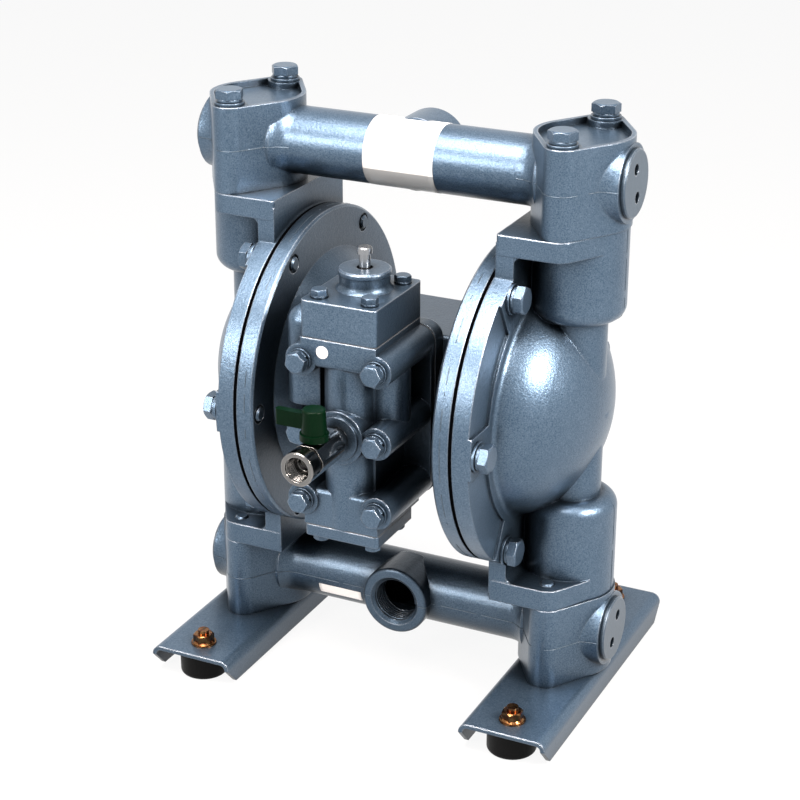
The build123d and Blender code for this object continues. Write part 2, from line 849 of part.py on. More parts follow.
with BuildPart() as outer_disk_right:
    with BuildSketch(axial_section):
        with BuildLine():
            Polyline(
                (outer_disk_x + outer_disk_thickness, disk_radius / 2),
                (outer_disk_x + outer_disk_thickness, rod_end_radius + contact_gap),
                (outer_disk_x, rod_end_radius + contact_gap),
                (outer_disk_x, disk_radius - disk_edge),
                (outer_disk_x + disk_edge, disk_radius),
            )
            RadiusArc(
                (outer_disk_x + disk_edge, disk_radius),
                (outer_disk_x + outer_disk_thickness, disk_radius / 2),
                -disk_crown,
            )
        make_face()
    revolve(axis=rod_axis)

outer_disk_left = mirrored(outer_disk_right.part)

with BuildPart() as rod_nut:
    with BuildSketch():
        RegularPolygon(rod_nut_flats / 2, 6, major_radius=False)
        Circle(rod_end_radius + contact_gap, mode=Mode.SUBTRACT)
    extrude(amount=rod_nut_height)

rod_nuts = repeated(rod_nut.part, both_ends(outer_disk_x + outer_disk_thickness))

with BuildPart() as bushing:
    with BuildSketch():
        Circle(bushing_radius)
        Circle(rod_radius + running_fit, mode=Mode.SUBTRACT)
    extrude(amount=-bushing_length)

rod_bushings = repeated(bushing.part, both_ends(body_half_width))

with BuildPart() as rod_seal:
    with BuildSketch():
        Circle(seal_radius - contact_gap)
        Circle(rod_radius + running_fit, mode=Mode.SUBTRACT)
    extrude(amount=-seal_length)

rod_seals = repeated(rod_seal.part, both_ends(air_floor_x))


# Centre body between the air chambers, with the mounting plate of the air valve.
with BuildPart() as center_body:
    with BuildSketch(across_rod(0)):
        with Locations(((body_front + body_back) / 2, 0)):
            RectangleRounded(body_back - body_front, 2 * body_half_height, body_corner)
    extrude(amount=body_half_width, both=True)
    for side in (-1, 1):
        with BuildSketch(across_rod(body_half_width - body_end_thickness, side)):
            Circle(body_end_radius)
        extrude(amount=body_end_thickness)
    with BuildSketch(facing_front(body_front)):
        with GridLocations(valve_bolt_spread, 2 * valve_bolt_rise, 2, 2):
            Circle(mount_plate_radius)
        make_hull()
    extrude(amount=body_front - mount_plate_y)
    with BuildSketch(facing_front(body_back)):
        Circle(exhaust_boss_radius)
    extrude(amount=-exhaust_boss_height)
    with BuildSketch(across_rod(0)):
        Circle(rod_radius + 2 * play)
    extrude(amount=body_half_width, both=True, mode=Mode.SUBTRACT)
    for side in (-1, 1):
        with BuildSketch(across_rod(body_half_width, side)):
            Circle(bushing_radius)
        extrude(amount=-bushing_length, mode=Mode.SUBTRACT)
        with BuildSketch(across_rod(body_half_width, side)):
            with Locations((0, pilot_rise)):
                Circle(pilot_bore)
        extrude(amount=-pilot_depth, mode=Mode.SUBTRACT)
        with BuildSketch(across_rod(body_half_width, side)):
            with PolarLocations(body_screw_circle, 4, start_angle=45):
                Circle(body_screw_radius)
        extrude(amount=-body_screw_length + air_floor_wall, mode=Mode.SUBTRACT)
    with BuildSketch(facing_front(silencer_face)):
        Circle(exhaust_bore)
    extrude(amount=exhaust_depth, mode=Mode.SUBTRACT)
    with BuildSketch(facing_front(mount_plate_y)):
        with GridLocations(valve_bolt_spread, valve_bolt_rise, 2, 3):
            Circle(M8[0])
    extrude(amount=mount_plate_y - body_front, mode=Mode.SUBTRACT)

with BuildPart() as body_screw:
    with BuildSketch():
        Circle(body_screw_radius - thread_relief)
    extrude(amount=-body_screw_length)
    with BuildSketch(Plane.XY.offset(body_screw_radius - body_screw_head)):
        Circle(body_screw_radius - thread_relief)
    extrude(amount=body_screw_head - body_screw_radius, taper=-45)

body_screws = repeated(body_screw.part, around_rod(air_floor_x, body_screw_circle, 4, 45))


# Pilot valves: a collared pin that the inner disk pushes at the end of its stroke.
pilot_tip_x = air_floor_x + pilot_reach
pilot_collar_x = body_half_width - pilot_bushing_length
pilot_spring_x = body_half_width - pilot_depth
collar_back_x = pilot_collar_x - pilot_bore

with BuildPart() as pilot_pin_right:
    with BuildSketch(across_rod(collar_back_x)):
        with Locations((0, pilot_rise)):
            Circle(pilot_pin_radius)
    extrude(amount=pilot_tip_x - collar_back_x)
    with BuildSketch(across_rod(collar_back_x)):
        with Locations((0, pilot_rise)):
            Circle(pilot_collar_radius)
    extrude(amount=pilot_collar_x - play - collar_back_x)

pilot_pin_left = mirrored(pilot_pin_right.part)

with BuildPart() as pilot_bushing:
    with BuildSketch():
        Circle(pilot_bore - contact_gap)
        Circle(pilot_pin_radius + running_fit, mode=Mode.SUBTRACT)
    extrude(amount=-pilot_bushing_length)

pilot_bushings = repeated(
    pilot_bushing.part, both_ends(body_half_width, rod_height + pilot_rise)
)


def coil_spring(radius, wire, length, turns):
    """Compression spring along Z from the origin, between its end wires."""
    with BuildPart() as spring:
        with BuildLine():
            helix = Helix(
                pitch=(length - 2 * wire) / turns,
                height=length - 2 * wire,
                radius=radius,
                center=(0, 0, wire),
            )
        with BuildSketch(Plane(origin=helix @ 0, z_dir=helix % 0)):
            RegularPolygon(wire, 8)
        sweep(path=helix.edge(), is_frenet=True)
    return spring.part


pilot_spring = coil_spring(
    pilot_spring_radius, pilot_spring_wire, collar_back_x - pilot_spring_x - play, spring_turns
)
pilot_spring_left, pilot_spring_right = (
    repeated(pilot_spring, [plane])
    for plane in both_ends(pilot_spring_x, rod_height + pilot_rise)
)


# Air valve body: spool housing on six bolt arms, with the inlet boss in the middle.
with BuildPart() as left_lobe:
    with BuildSketch(Plane.XY.offset(left_lobe_bottom)):
        with Locations((-core_half_width, left_lobe_front)):
            Rectangle(
                left_lobe_half_width - core_half_width,
                valve_back - valve_arm_radius - left_lobe_front,
                align=(Align.MAX, Align.MIN),
            )
    extrude(amount=left_lobe_top - left_lobe_bottom)
    fillet(
        left_lobe.edges().filter_by(Axis.Z).group_by(Axis.X)[0]
        + left_lobe.edges().group_by(Axis.Z)[-1].sort_by(Axis.X)[:-1],
        left_lobe_rounding,
    )

with BuildPart() as valve_head:
    with BuildSketch(Plane.XY.offset(valve_block_bottom)):
        with Locations((0, valve_front)):
            Rectangle(
                2 * cap_half_width, valve_back - valve_front, align=(Align.CENTER, Align.MIN)
            )
    extrude(amount=valve_block_height)
    fillet(valve_head.edges().group_by(Axis.Z)[0].sort_by(Axis.Y)[:-1], valve_edge_rounding)

with BuildPart() as valve_foot:
    with BuildSketch(Plane.XY.offset(valve_bottom)):
        with Locations((0, valve_foot_front)):
            Rectangle(
                2 * cap_half_width, valve_back - valve_foot_front, align=(Align.CENTER, Align.MIN)
            )
    extrude(amount=valve_foot_height)
    fillet(valve_foot.edges().group_by(Axis.Z)[-1].sort_by(Axis.Y)[:-1], valve_edge_rounding)

with BuildPart() as valve_body:
    with BuildSketch(facing_front(valve_front)):
        with GridLocations(valve_bolt_spread, valve_bolt_rise, 2, 3):
            Circle(valve_arm_radius)
    extrude(amount=valve_front - valve_back)
    add(valve_head.part)
    add(valve_foot.part)
    with BuildSketch(Plane.XY.offset(valve_bottom)):
        with Locations((0, core_front)):
            Rectangle(
                2 * core_half_width, valve_back - core_front, align=(Align.CENTER, Align.MIN)
            )
        with Locations((0, spool_column_y)):
            Circle(spool_column_radius)
    extrude(amount=valve_top - valve_block_height / 2 - valve_bottom)
    with BuildSketch(facing_front(valve_back)):
        with GridLocations(valve_bolt_spread, 2 * valve_bolt_rise, 2, 2):
            Circle(valve_arm_radius)
        make_hull()
    extrude(amount=valve_arm_radius / 2)
    with BuildSketch(Plane.XY.offset(right_lobe_bottom)):
        with Locations((right_lobe_x, right_lobe_y)):
            Circle(right_lobe_radius)
    extrude(amount=valve_top - valve_block_height / 2 - right_lobe_bottom)
    add(left_lobe.part)
    with BuildSketch(Plane.XY.offset(valve_top)):
        with Locations((0, valve_front)):
            Rectangle(
                2 * (cap_half_width + play), cap_back - valve_front, align=(Align.CENTER, Align.MIN)
            )
    extrude(amount=cap_height, mode=Mode.SUBTRACT)
    with BuildSketch(facing_front(valve_front - inlet_ring_reach)):
        Circle(inlet_ring_radius)
    extrude(amount=-inlet_ring_reach - core_setback)
    with BuildSketch(facing_front(inlet_boss_front)):
        Circle(inlet_boss_radius)
    extrude(amount=-inlet_boss_reach)
    with BuildSketch(Plane.XY.offset(valve_bottom)):
        with Locations((0, spool_axis_y)):
            Circle(sleeve_radius)
    extrude(amount=valve_top - valve_bottom, mode=Mode.SUBTRACT)
    with BuildSketch(facing_front(inlet_boss_front)):
        Circle(inlet_bore)
    extrude(amount=inlet_boss_front - spool_axis_y, mode=Mode.SUBTRACT)
    with BuildSketch(facing_front(valve_front)):
        with GridLocations(valve_bolt_spread, valve_bolt_rise, 2, 3):
            Circle(M8[0] + hole_clearance)
    extrude(amount=valve_front - valve_back, mode=Mode.SUBTRACT)
    with BuildSketch(facing_front(inlet_boss_front)):
        Circle(inlet_neck_radius - play)
    extrude(amount=-inlet_thread_depth, mode=Mode.SUBTRACT)
    with BuildSketch(Plane.XY.offset(valve_top)):
        with Locations((0, cap_centre_y)):
            with GridLocations(cap_bolt_spread_x, cap_bolt_spread_y, 2, 2):
                Circle(M6[0])
    extrude(amount=-cap_bolt_depth, mode=Mode.SUBTRACT)
    with BuildSketch(Plane.XY.offset(valve_bottom)):
        with Locations((0, bottom_cap_y)):
            with GridLocations(bottom_bolt_spread_x, bottom_bolt_spread_y, 2, 2):
                Circle(M6[0])
    extrude(amount=cap_bolt_depth, mode=Mode.SUBTRACT)

with BuildPart() as valve_gasket:
    with BuildSketch(facing_front(mount_plate_y)):
        with GridLocations(valve_bolt_spread, 2 * valve_bolt_rise, 2, 2):
            Circle(valve_arm_radius)
        make_hull()
        with GridLocations(valve_bolt_spread, valve_bolt_rise, 2, 3):
            Circle(M8[0] + hole_clearance, mode=Mode.SUBTRACT)
    extrude(amount=mount_plate_y - valve_back)

with BuildPart() as spool_sleeve:
    with BuildSketch(Plane.XY.offset(valve_bottom + contact_gap)):
        with Locations((0, spool_axis_y)):
            Circle(sleeve_radius - contact_gap)
            Circle(spool_radius + running_fit, mode=Mode.SUBTRACT)
    extrude(amount=valve_top - valve_bottom - 2 * contact_gap)

spool_bottom = valve_bottom + spool_travel + play
spool_top = valve_top - spool_top_gap
spool_land = (spool_top - spool_bottom) / (2 * spool_land_count - 1)
with BuildPart() as spool:
    with BuildSketch(Plane.XY.offset(spool_bottom)):
        with Locations((0, spool_axis_y)):
            Circle(spool_waist)
    extrude(amount=spool_top - spool_bottom)
    for step in range(spool_land_count):
        with BuildSketch(Plane.XY.offset(spool_bottom + 2 * step * spool_land)):
            with Locations((0, spool_axis_y)):
                Circle(spool_radius)
        extrude(amount=spool_land)

# Valve cap with the turret of the reset button, and the cap under the spool.
with BuildPart() as valve_cap:
    with BuildSketch(Plane.XY.offset(cap_bottom)):
        with Locations((0, cap_centre_y)):
            RectangleRounded(2 * cap_half_width, cap_back - valve_front, cap_corner)
    extrude(amount=cap_height)
    with BuildSketch(spool_section):
        with BuildLine():
            Line((0, cap_top - turret_edge), (turret_base_radius, cap_top - turret_edge))
            Line((turret_base_radius, cap_top - turret_edge), (turret_base_radius, cap_top))
            RadiusArc(
                (turret_base_radius, cap_top),
                (turret_neck_radius, cap_top + turret_neck_rise),
                turret_fillet,
            )
            Polyline(
                (turret_neck_radius, cap_top + turret_neck_rise),
                (turret_neck_radius, turret_top - turret_rim_height),
                (turret_rim_radius, turret_top - turret_rim_height),
                (turret_rim_radius, turret_top - turret_edge),
                (turret_rim_radius - turret_edge, turret_top),
                (0, turret_top),
                (0, cap_top - turret_edge),
            )
        make_face()
    revolve(axis=spool_axis)
    with BuildSketch(Plane.XY.offset(turret_top)):
        with Locations((0, spool_axis_y)):
            Circle(turret_well_radius)
    extrude(amount=-turret_well_depth, mode=Mode.SUBTRACT)
    with BuildSketch(Plane.XY.offset(cap_bottom)):
        with Locations((0, spool_axis_y)):
            Circle(button_stem_radius + running_fit)
    extrude(amount=turret_top - cap_bottom, mode=Mode.SUBTRACT)
    with BuildSketch(Plane.XY.offset(cap_bottom)):
        with Locations((0, spool_axis_y)):
            Circle(cap_bore)
    extrude(amount=cap_height - cap_roof, mode=Mode.SUBTRACT)
    with BuildSketch(Plane.XY.offset(cap_bottom)):
        with Locations((0, cap_centre_y)):
            with GridLocations(cap_bolt_spread_x, cap_bolt_spread_y, 2, 2):
                Circle(M6[0] + hole_clearance)
    extrude(amount=cap_height, mode=Mode.SUBTRACT)

with BuildPart() as bottom_cap:
    with BuildSketch(Plane.XY.offset(bottom_cap_top)):
        with Locations((0, bottom_cap_y)):
            RectangleRounded(2 * cap_half_width, bottom_cap_back - valve_foot_front, cap_corner)
            with GridLocations(bottom_bolt_spread_x, bottom_bolt_spread_y, 2, 2):
                Circle(M6[0] + hole_clearance, mode=Mode.SUBTRACT)
    extrude(amount=-bottom_cap_height)

with BuildPart() as cap_gaskets:
    with BuildSketch(Plane.XY.offset(valve_top)):
        with Locations((0, cap_centre_y)):
            RectangleRounded(2 * cap_half_width, cap_back - valve_front, cap_corner)
            with GridLocations(cap_bolt_spread_x, cap_bolt_spread_y, 2, 2):
                Circle(M6[0] + hole_clearance, mode=Mode.SUBTRACT)
        with Locations((0, spool_axis_y)):
            Circle(spool_radius, mode=Mode.SUBTRACT)
    extrude(amount=gasket_thickness)
    with BuildSketch(Plane.XY.offset(bottom_cap_top)):
        with Locations((0, bottom_cap_y)):
            RectangleRounded(2 * cap_half_width, bottom_cap_back - valve_foot_front, cap_corner)
            with GridLocations(bottom_bolt_spread_x, bottom_bolt_spread_y, 2, 2):
                Circle(M6[0] + hole_clearance, mode=Mode.SUBTRACT)
    extrude(amount=gasket_thickness)

collar_top = cap_top - cap_roof - play
with BuildPart() as reset_button:
    with BuildSketch(Plane.XY.offset(spool_top + play)):
        with Locations((0, spool_axis_y)):
            Circle(button_stem_radius)
    extrude(amount=turret_top + button_proud - spool_top - play)
    with BuildSketch(Plane.XY.offset(collar_top - collar_height)):
        with Locations((0, spool_axis_y)):
            Circle(collar_radius)
    extrude(amount=collar_height)
    with BuildSketch(Plane.XY.offset(turret_top + button_proud - button_head_height)):
        with Locations((0, spool_axis_y)):
            Circle(button_head_radius)
    extrude(amount=button_head_height)
    chamfer(reset_button.edges().group_by(Axis.Z)[-1], button_edge)

spring_base = cap_bottom + play
reset_spring = repeated(
    coil_spring(
        spring_radius, spring_wire, collar_top - collar_height - play - spring_base, spring_turns
    ),
    [Plane(origin=(0, spool_axis_y, spring_base))],
)


# Inlet ball valve, screwed into the boss of the air valve.
inlet_cavity_start = stem_y + ball_radius + seat_setback
inlet_cavity_end = stem_y - ball_radius - seat_setback
with BuildPart() as inlet_valve_body:
    with BuildSketch(inlet_section):
        with BuildLine():
            Polyline(
                (inlet_boss_front + inlet_thread_depth - bolt_end_gap, 0),
                (
                    inlet_boss_front + inlet_thread_depth - bolt_end_gap,
                    inlet_neck_radius - 2 * play,
                ),
                (inlet_boss_front - play, inlet_neck_radius - 2 * play),
                (inlet_boss_front - play, inlet_neck_radius),
                (inlet_body_start, inlet_neck_radius),
                (inlet_body_start - inlet_shoulder, inlet_body_radius),
                (inlet_body_end, inlet_body_radius),
                (inlet_body_end, 0),
                close=True,
            )
        make_face()
    revolve(axis=inlet_axis)
    with BuildSketch(facing_front(inlet_body_end)):
        RegularPolygon(inlet_body_flats / 2, 6, major_radius=False)
    extrude(amount=-inlet_body_reach - inlet_thread_depth, mode=Mode.INTERSECT)
    with BuildSketch(Plane.XY.offset(rod_height)):
        with Locations((0, stem_y)):
            Circle(stem_boss_radius)
    extrude(amount=stem_boss_height)
    with BuildSketch(facing_front(inlet_body_end)):
        Circle(ball_radius + play)
    extrude(amount=inlet_body_end - inlet_cavity_start, mode=Mode.SUBTRACT)
    with BuildSketch(facing_front(inlet_body_end)):
        Circle(ball_bore)
    extrude(amount=inlet_body_end - inlet_boss_front - inlet_thread_depth, mode=Mode.SUBTRACT)
    with BuildSketch(Plane.XY.offset(rod_height)):
        with Locations((0, stem_y)):
            Circle(stem_radius + running_fit)
    extrude(amount=stem_boss_height, mode=Mode.SUBTRACT)

with BuildPart() as inlet_valve_end:
    with BuildSketch(facing_front(inlet_cavity_end)):
        Circle(ball_radius + play - contact_gap)
    extrude(amount=inlet_cavity_end - inlet_body_end)
    with BuildSketch(facing_front(inlet_body_end)):
        Circle(inlet_groove_radius)
    extrude(amount=inlet_groove_length)
    with BuildSketch(facing_front(inlet_body_end - inlet_groove_length)):
        Circle(inlet_body_radius)
    extrude(amount=inlet_end_length - inlet_groove_length)
    chamfer(inlet_valve_end.edges().group_by(Axis.Y)[0], inlet_edge)
    with BuildSketch(facing_front(inlet_end_face)):
        Circle(ball_bore)
    extrude(amount=inlet_end_face - inlet_cavity_end, mode=Mode.SUBTRACT)
    with BuildSketch(facing_front(inlet_end_face)):
        Circle(inlet_end_bore)
    extrude(amount=-inlet_thread_length, mode=Mode.SUBTRACT)

with BuildPart() as inlet_seats:
    for side in (-1, 1):
        with BuildSketch(facing_front(stem_y + side * (ball_radius + seat_setback - contact_gap))):
            Circle(ball_radius + play - contact_gap)
            Circle(ball_bore, mode=Mode.SUBTRACT)
        extrude(amount=side * seat_length)
    with Locations((0, stem_y, rod_height)):
        Sphere(ball_radius + running_fit, mode=Mode.SUBTRACT)

with BuildPart() as inlet_ball:
    with Locations((0, stem_y, rod_height)):
        Sphere(ball_radius)
    with BuildSketch(inlet_closed_bore):
        Circle(ball_bore)
    extrude(amount=ball_radius, both=True, mode=Mode.SUBTRACT)
    with BuildSketch(Plane.XY.offset(rod_height + ball_radius)):
        with Locations((0, stem_y)):
            Rectangle(2 * ball_radius, tang_width)
    extrude(amount=-tang_depth, mode=Mode.SUBTRACT)

with BuildPart() as inlet_stem:
    with BuildSketch(Plane.XY.offset(rod_height + ball_radius + play)):
        with Locations((0, stem_y)):
            Circle(stem_radius)
    extrude(amount=lever_bottom + lever_height / 2 - ball_radius - play)
    with BuildSketch(Plane.XY.offset(rod_height + ball_radius + play)):
        with Locations((0, stem_y)):
            Rectangle(2 * stem_radius, tang_width - 2 * running_fit)
            Circle(stem_radius, mode=Mode.INTERSECT)
    extrude(amount=-tang_depth)

with BuildPart() as lever:
    with Locations((0, stem_y, rod_height + lever_bottom)):
        Cone(
            lever_hub_radius,
            lever_hub_top_radius,
            lever_height,
            align=(Align.CENTER, Align.CENTER, Align.MIN),
        )
    fillet(lever.edges().group_by(Axis.Z)[-1], lever_edge)
    with BuildSketch(Plane.XY.offset(rod_height + lever_bottom)):
        with Locations((0, stem_y)):
            Circle(lever_ring_radius)
    extrude(amount=lever_ring_height)
    with BuildSketch(Plane.XY.offset(rod_height + lever_arm_bottom)):
        with Locations((0, stem_y)):
            Rectangle(lever_reach, lever_arm_width, align=(Align.MAX, Align.CENTER))
    extrude(amount=lever_arm_height)
    fillet(lever.edges().filter_by(Axis.Z).group_by(Axis.X)[0], lever_arm_rounding)
    with BuildSketch(Plane.XY.offset(rod_height + lever_bottom)):
        with Locations((0, stem_y)):
            Circle(stem_radius + contact_gap)
    extrude(amount=lever_height / 2 + play, mode=Mode.SUBTRACT)


# Base channels bent from sheet, rubber feet and their bolts.
with BuildPart() as base_channel_right:
    with BuildSketch(Plane.XZ) as channel_section:
        with Locations((channel_x, channel_top)):
            Rectangle(channel_width, channel_height, align=(Align.CENTER, Align.MAX))
        fillet(channel_section.vertices().group_by(Axis.Y)[-1], channel_bend)
        with BuildSketch(mode=Mode.PRIVATE) as hollow:
            with Locations((channel_x, channel_top - channel_thickness)):
                Rectangle(
                    channel_width - 2 * channel_thickness,
                    channel_height,
                    align=(Align.CENTER, Align.MAX),
                )
            fillet(hollow.vertices().group_by(Axis.Y)[-1], channel_bend - channel_thickness)
        add(hollow.sketch, mode=Mode.SUBTRACT)
    extrude(amount=channel_length / 2, both=True)
    with BuildSketch(Plane.YZ.offset(channel_x)):
        for end in (-1, 1):
            edge = end * channel_length / 2
            low = channel_top - channel_height
            with BuildLine():
                Polyline(
                    (edge, low - 1),
                    (edge, low + channel_nose + 1),
                    (edge - end * (channel_nose + 1), low - 1),
                    close=True,
                )
            make_face()
    extrude(amount=channel_width, both=True, mode=Mode.SUBTRACT)
    with BuildSketch(Plane.XY.offset(channel_top)):
        with Locations((column_x, 0)):
            with GridLocations(0, bolt_spread, 1, 2):
                Circle(M10[0] + hole_clearance)
        with Locations((channel_x, 0)):
            with GridLocations(0, foot_spread, 1, 2):
                Circle(M8[0] + hole_clearance)
    extrude(amount=-channel_thickness, mode=Mode.SUBTRACT)

base_channel_left = mirrored(base_channel_right.part)

with BuildPart() as foot:
    Cylinder(foot_radius, foot_height, align=(Align.CENTER, Align.CENTER, Align.MIN))
    fillet(foot.edges().group_by(Axis.Z)[0], foot_rounding)
    with BuildSketch():
        Circle(foot_recess_radius)
    extrude(amount=foot_recess_depth, mode=Mode.SUBTRACT)
    with BuildSketch():
        Circle(M8[0] + hole_clearance)
    extrude(amount=foot_height, mode=Mode.SUBTRACT)

with BuildPart() as foot_bolt:
    with BuildSketch(Plane.XY.offset(foot_recess_depth)):
        RegularPolygon(M8[1] / 2, 6, major_radius=False)
    extrude(amount=-M8[2])
    with BuildSketch(Plane.XY.offset(foot_recess_depth)):
        Circle(M8[0] - thread_relief)
    extrude(amount=channel_top + foot_nut_height + foot_bolt_tip - foot_recess_depth)

with BuildPart() as foot_nut:
    Cone(
        foot_nut_flange,
        M8[1] / 2,
        foot_nut_height / 3,
        align=(Align.CENTER, Align.CENTER, Align.MIN),
    )
    with BuildSketch():
        RegularPolygon(M8[1] / 2, 6, major_radius=False)
    extrude(amount=foot_nut_height)
    with BuildSketch():
        Circle(M8[0])
    extrude(amount=foot_nut_height, mode=Mode.SUBTRACT)

foot_places = [(side * channel_x, end * foot_y) for side in (-1, 1) for end in (-1, 1)]
rubber_feet = repeated(foot.part, [Plane(origin=(x, y, 0)) for x, y in foot_places])
foot_bolts = repeated(foot_bolt.part, [Plane(origin=(x, y, 0)) for x, y in foot_places])
foot_nuts = repeated(foot_nut.part, [Plane(origin=(x, y, channel_top)) for x, y in foot_places])


# Bolts of the fluid chambers, the manifolds, the air valve and its caps
chamber_bolts = repeated(
    headed_bolt(M10, fluid_face_x - air_back_x, chamber_bolt_tip),
    around_rod(fluid_face_x, bolt_circle_radius, bolt_circle_count),
)

upper_bolt_planes = [
    Plane(origin=(x * column_x, y * block_bolt_y, upper_joint + block_height))
    for x in (-1, 1)
    for y in (-1, 1)
]
lower_bolt_planes = [
    Plane(
        origin=(x * column_x, y * block_bolt_y, channel_top - channel_thickness),
        x_dir=(1, 0, 0),
        z_dir=(0, 0, -1),
    )
    for x in (-1, 1)
    for y in (-1, 1)
]
upper_bolt = headed_bolt(M10, block_height + upper_plate_thickness, -manifold_bolt_tip)
lower_bolt = headed_bolt(
    M10, channel_thickness + block_height + lower_plate_thickness, manifold_bolt_tip
)
with BuildPart() as manifold_bolts:
    with Locations(*upper_bolt_planes):
        add(upper_bolt)
    with Locations(*lower_bolt_planes):
        add(lower_bolt)

valve_bolts = repeated(
    headed_bolt(M8, valve_back - valve_front + gasket_thickness, mount_plate_thickness - bolt_end_gap),
    [
        Plane(
            origin=(x * valve_bolt_spread / 2, valve_front, rod_height + row * valve_bolt_rise),
            x_dir=(1, 0, 0),
            z_dir=(0, -1, 0),
        )
        for x in (-1, 1)
        for row in (-1, 0, 1)
    ],
)


def cap_bolt(grip):
    """Small hex bolt with a washer, seat at the origin."""
    with BuildPart() as bolt:
        with BuildSketch():
            Circle(M6[3])
        extrude(amount=cap_washer)
        with BuildSketch(Plane.XY.offset(cap_washer)):
            RegularPolygon(M6[1] / 2, 6, major_radius=False)
        extrude(amount=M6[2])
        with BuildSketch():
            Circle(M6[0] - thread_relief)
        extrude(amount=2 * bolt_end_gap - grip - cap_bolt_depth)
    return bolt.part


with BuildPart() as cap_bolts:
    with Locations(Plane(origin=(0, cap_centre_y, cap_top))):
        with GridLocations(cap_bolt_spread_x, cap_bolt_spread_y, 2, 2):
            add(cap_bolt(cap_height + gasket_thickness))
    with Locations(
        Plane(
            origin=(0, bottom_cap_y, bottom_cap_top - bottom_cap_height),
            x_dir=(1, 0, 0),
            z_dir=(0, 0, -1),
        )
    ):
        with GridLocations(bottom_bolt_spread_x, bottom_bolt_spread_y, 2, 2):
            add(cap_bolt(bottom_cap_height + gasket_thickness))


# Exhaust silencer behind the centre body
with BuildPart() as exhaust_silencer:
    silencer_start = silencer_face + silencer_hex_height
    with BuildSketch(inlet_section) as silencer_outline:
        with Locations((silencer_start, 0)):
            Rectangle(
                silencer_length,
                silencer_radius - silencer_groove,
                align=(Align.MIN, Align.MIN),
            )
        fillet(
            silencer_outline.vertices().group_by(Axis.Y)[-1].sort_by(Axis.X), silencer_rounding
        )
        with Locations((silencer_start + silencer_length / 2, 0)):
            with GridLocations(silencer_groove_pitch, 0, silencer_groove_count, 1):
                Rectangle(
                    silencer_groove_pitch / 2, silencer_radius, align=(Align.CENTER, Align.MIN)
                )
    revolve(axis=inlet_axis)
    with BuildSketch(facing_front(silencer_start)):
        RegularPolygon(silencer_hex / 2, 6, major_radius=False)
    extrude(amount=silencer_hex_height)
    with BuildSketch(facing_front(silencer_face)):
        Circle(exhaust_bore - thread_relief)
    extrude(amount=exhaust_depth - bolt_end_gap)

pieces = {
    "discharge_manifold": discharge_manifold,
    "suction_manifold": suction_manifold,
    "manifold_plugs": manifold_plugs,
    "out_chamber_left": out_chamber_left,
    "out_chamber_right": out_chamber_right,
    "air_chamber_left": air_chamber_left,
    "air_chamber_right": air_chamber_right,
    "diaphragm_left": diaphragm_left,
    "diaphragm_right": diaphragm_right,
    "outer_disk_left": outer_disk_left,
    "outer_disk_right": outer_disk_right,
    "inner_disk_left": inner_disk_left,
    "inner_disk_right": inner_disk_right,
    "center_rod": center_rod,
    "rod_nuts": rod_nuts,
    "rod_bushings": rod_bushings,
    "rod_seals": rod_seals,
    "center_body": center_body,
    "body_screws": body_screws,
    "pilot_pin_left": pilot_pin_left,
    "pilot_pin_right": pilot_pin_right,
    "pilot_spring_left": pilot_spring_left,
    "pilot_spring_right": pilot_spring_right,
    "pilot_bushings": pilot_bushings,
    "valve_body": valve_body,
    "valve_gasket": valve_gasket,
    "valve_cap": valve_cap,
    "bottom_cap": bottom_cap,
    "cap_gaskets": cap_gaskets,
    "spool": spool,
    "spool_sleeve": spool_sleeve,
    "reset_button": reset_button,
    "reset_spring": reset_spring,
    "valve_bolts": valve_bolts,
    "cap_bolts": cap_bolts,
    "inlet_valve_body": inlet_valve_body,
    "inlet_valve_end": inlet_valve_end,
    "inlet_seats": inlet_seats,
    "inlet_ball": inlet_ball,
    "inlet_stem": inlet_stem,
    "lever": lever,
    "suction_ball_left": suction_ball_left,
    "suction_ball_right": suction_ball_right,
    "discharge_ball_left": discharge_ball_left,
    "discharge_ball_right": discharge_ball_right,
    "valve_seats": valve_seats,
    "ball_cages": ball_cages,
    "joint_o_rings": joint_o_rings,
    "chamber_bolts": chamber_bolts,
    "manifold_bolts": manifold_bolts,
    "base_channel_left": base_channel_left,
    "base_channel_right": base_channel_right,
    "rubber_feet": rubber_feet,
    "foot_bolts": foot_bolts,
    "foot_nuts": foot_nuts,
    "exhaust_silencer": exhaust_silencer,
}

os.makedirs("parts", exist_ok=True)
for name, piece in pieces.items():
    piece.part.label = name
    export_step(piece.part, f"parts/{name}.step")
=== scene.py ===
import json
import math
import random

import bmesh
import bpy
from mathutils import Matrix, Vector
from mathutils.bvhtree import BVHTree


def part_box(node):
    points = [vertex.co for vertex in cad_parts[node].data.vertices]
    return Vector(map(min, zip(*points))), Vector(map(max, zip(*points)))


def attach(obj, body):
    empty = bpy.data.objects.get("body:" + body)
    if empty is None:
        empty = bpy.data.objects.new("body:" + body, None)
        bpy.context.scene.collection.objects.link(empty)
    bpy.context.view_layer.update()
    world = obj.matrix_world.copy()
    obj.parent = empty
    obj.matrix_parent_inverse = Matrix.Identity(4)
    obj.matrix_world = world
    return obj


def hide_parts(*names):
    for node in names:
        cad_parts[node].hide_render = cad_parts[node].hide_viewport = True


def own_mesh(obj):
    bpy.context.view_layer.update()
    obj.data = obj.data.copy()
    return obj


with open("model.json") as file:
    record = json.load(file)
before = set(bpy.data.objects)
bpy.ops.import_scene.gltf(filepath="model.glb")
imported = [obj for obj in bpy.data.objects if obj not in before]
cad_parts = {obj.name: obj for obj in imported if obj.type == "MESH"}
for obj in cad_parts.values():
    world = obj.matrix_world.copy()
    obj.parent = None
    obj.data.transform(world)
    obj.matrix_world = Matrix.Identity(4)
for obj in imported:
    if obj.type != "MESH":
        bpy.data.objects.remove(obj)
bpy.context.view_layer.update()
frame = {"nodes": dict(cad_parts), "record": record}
nodes = frame["nodes"]
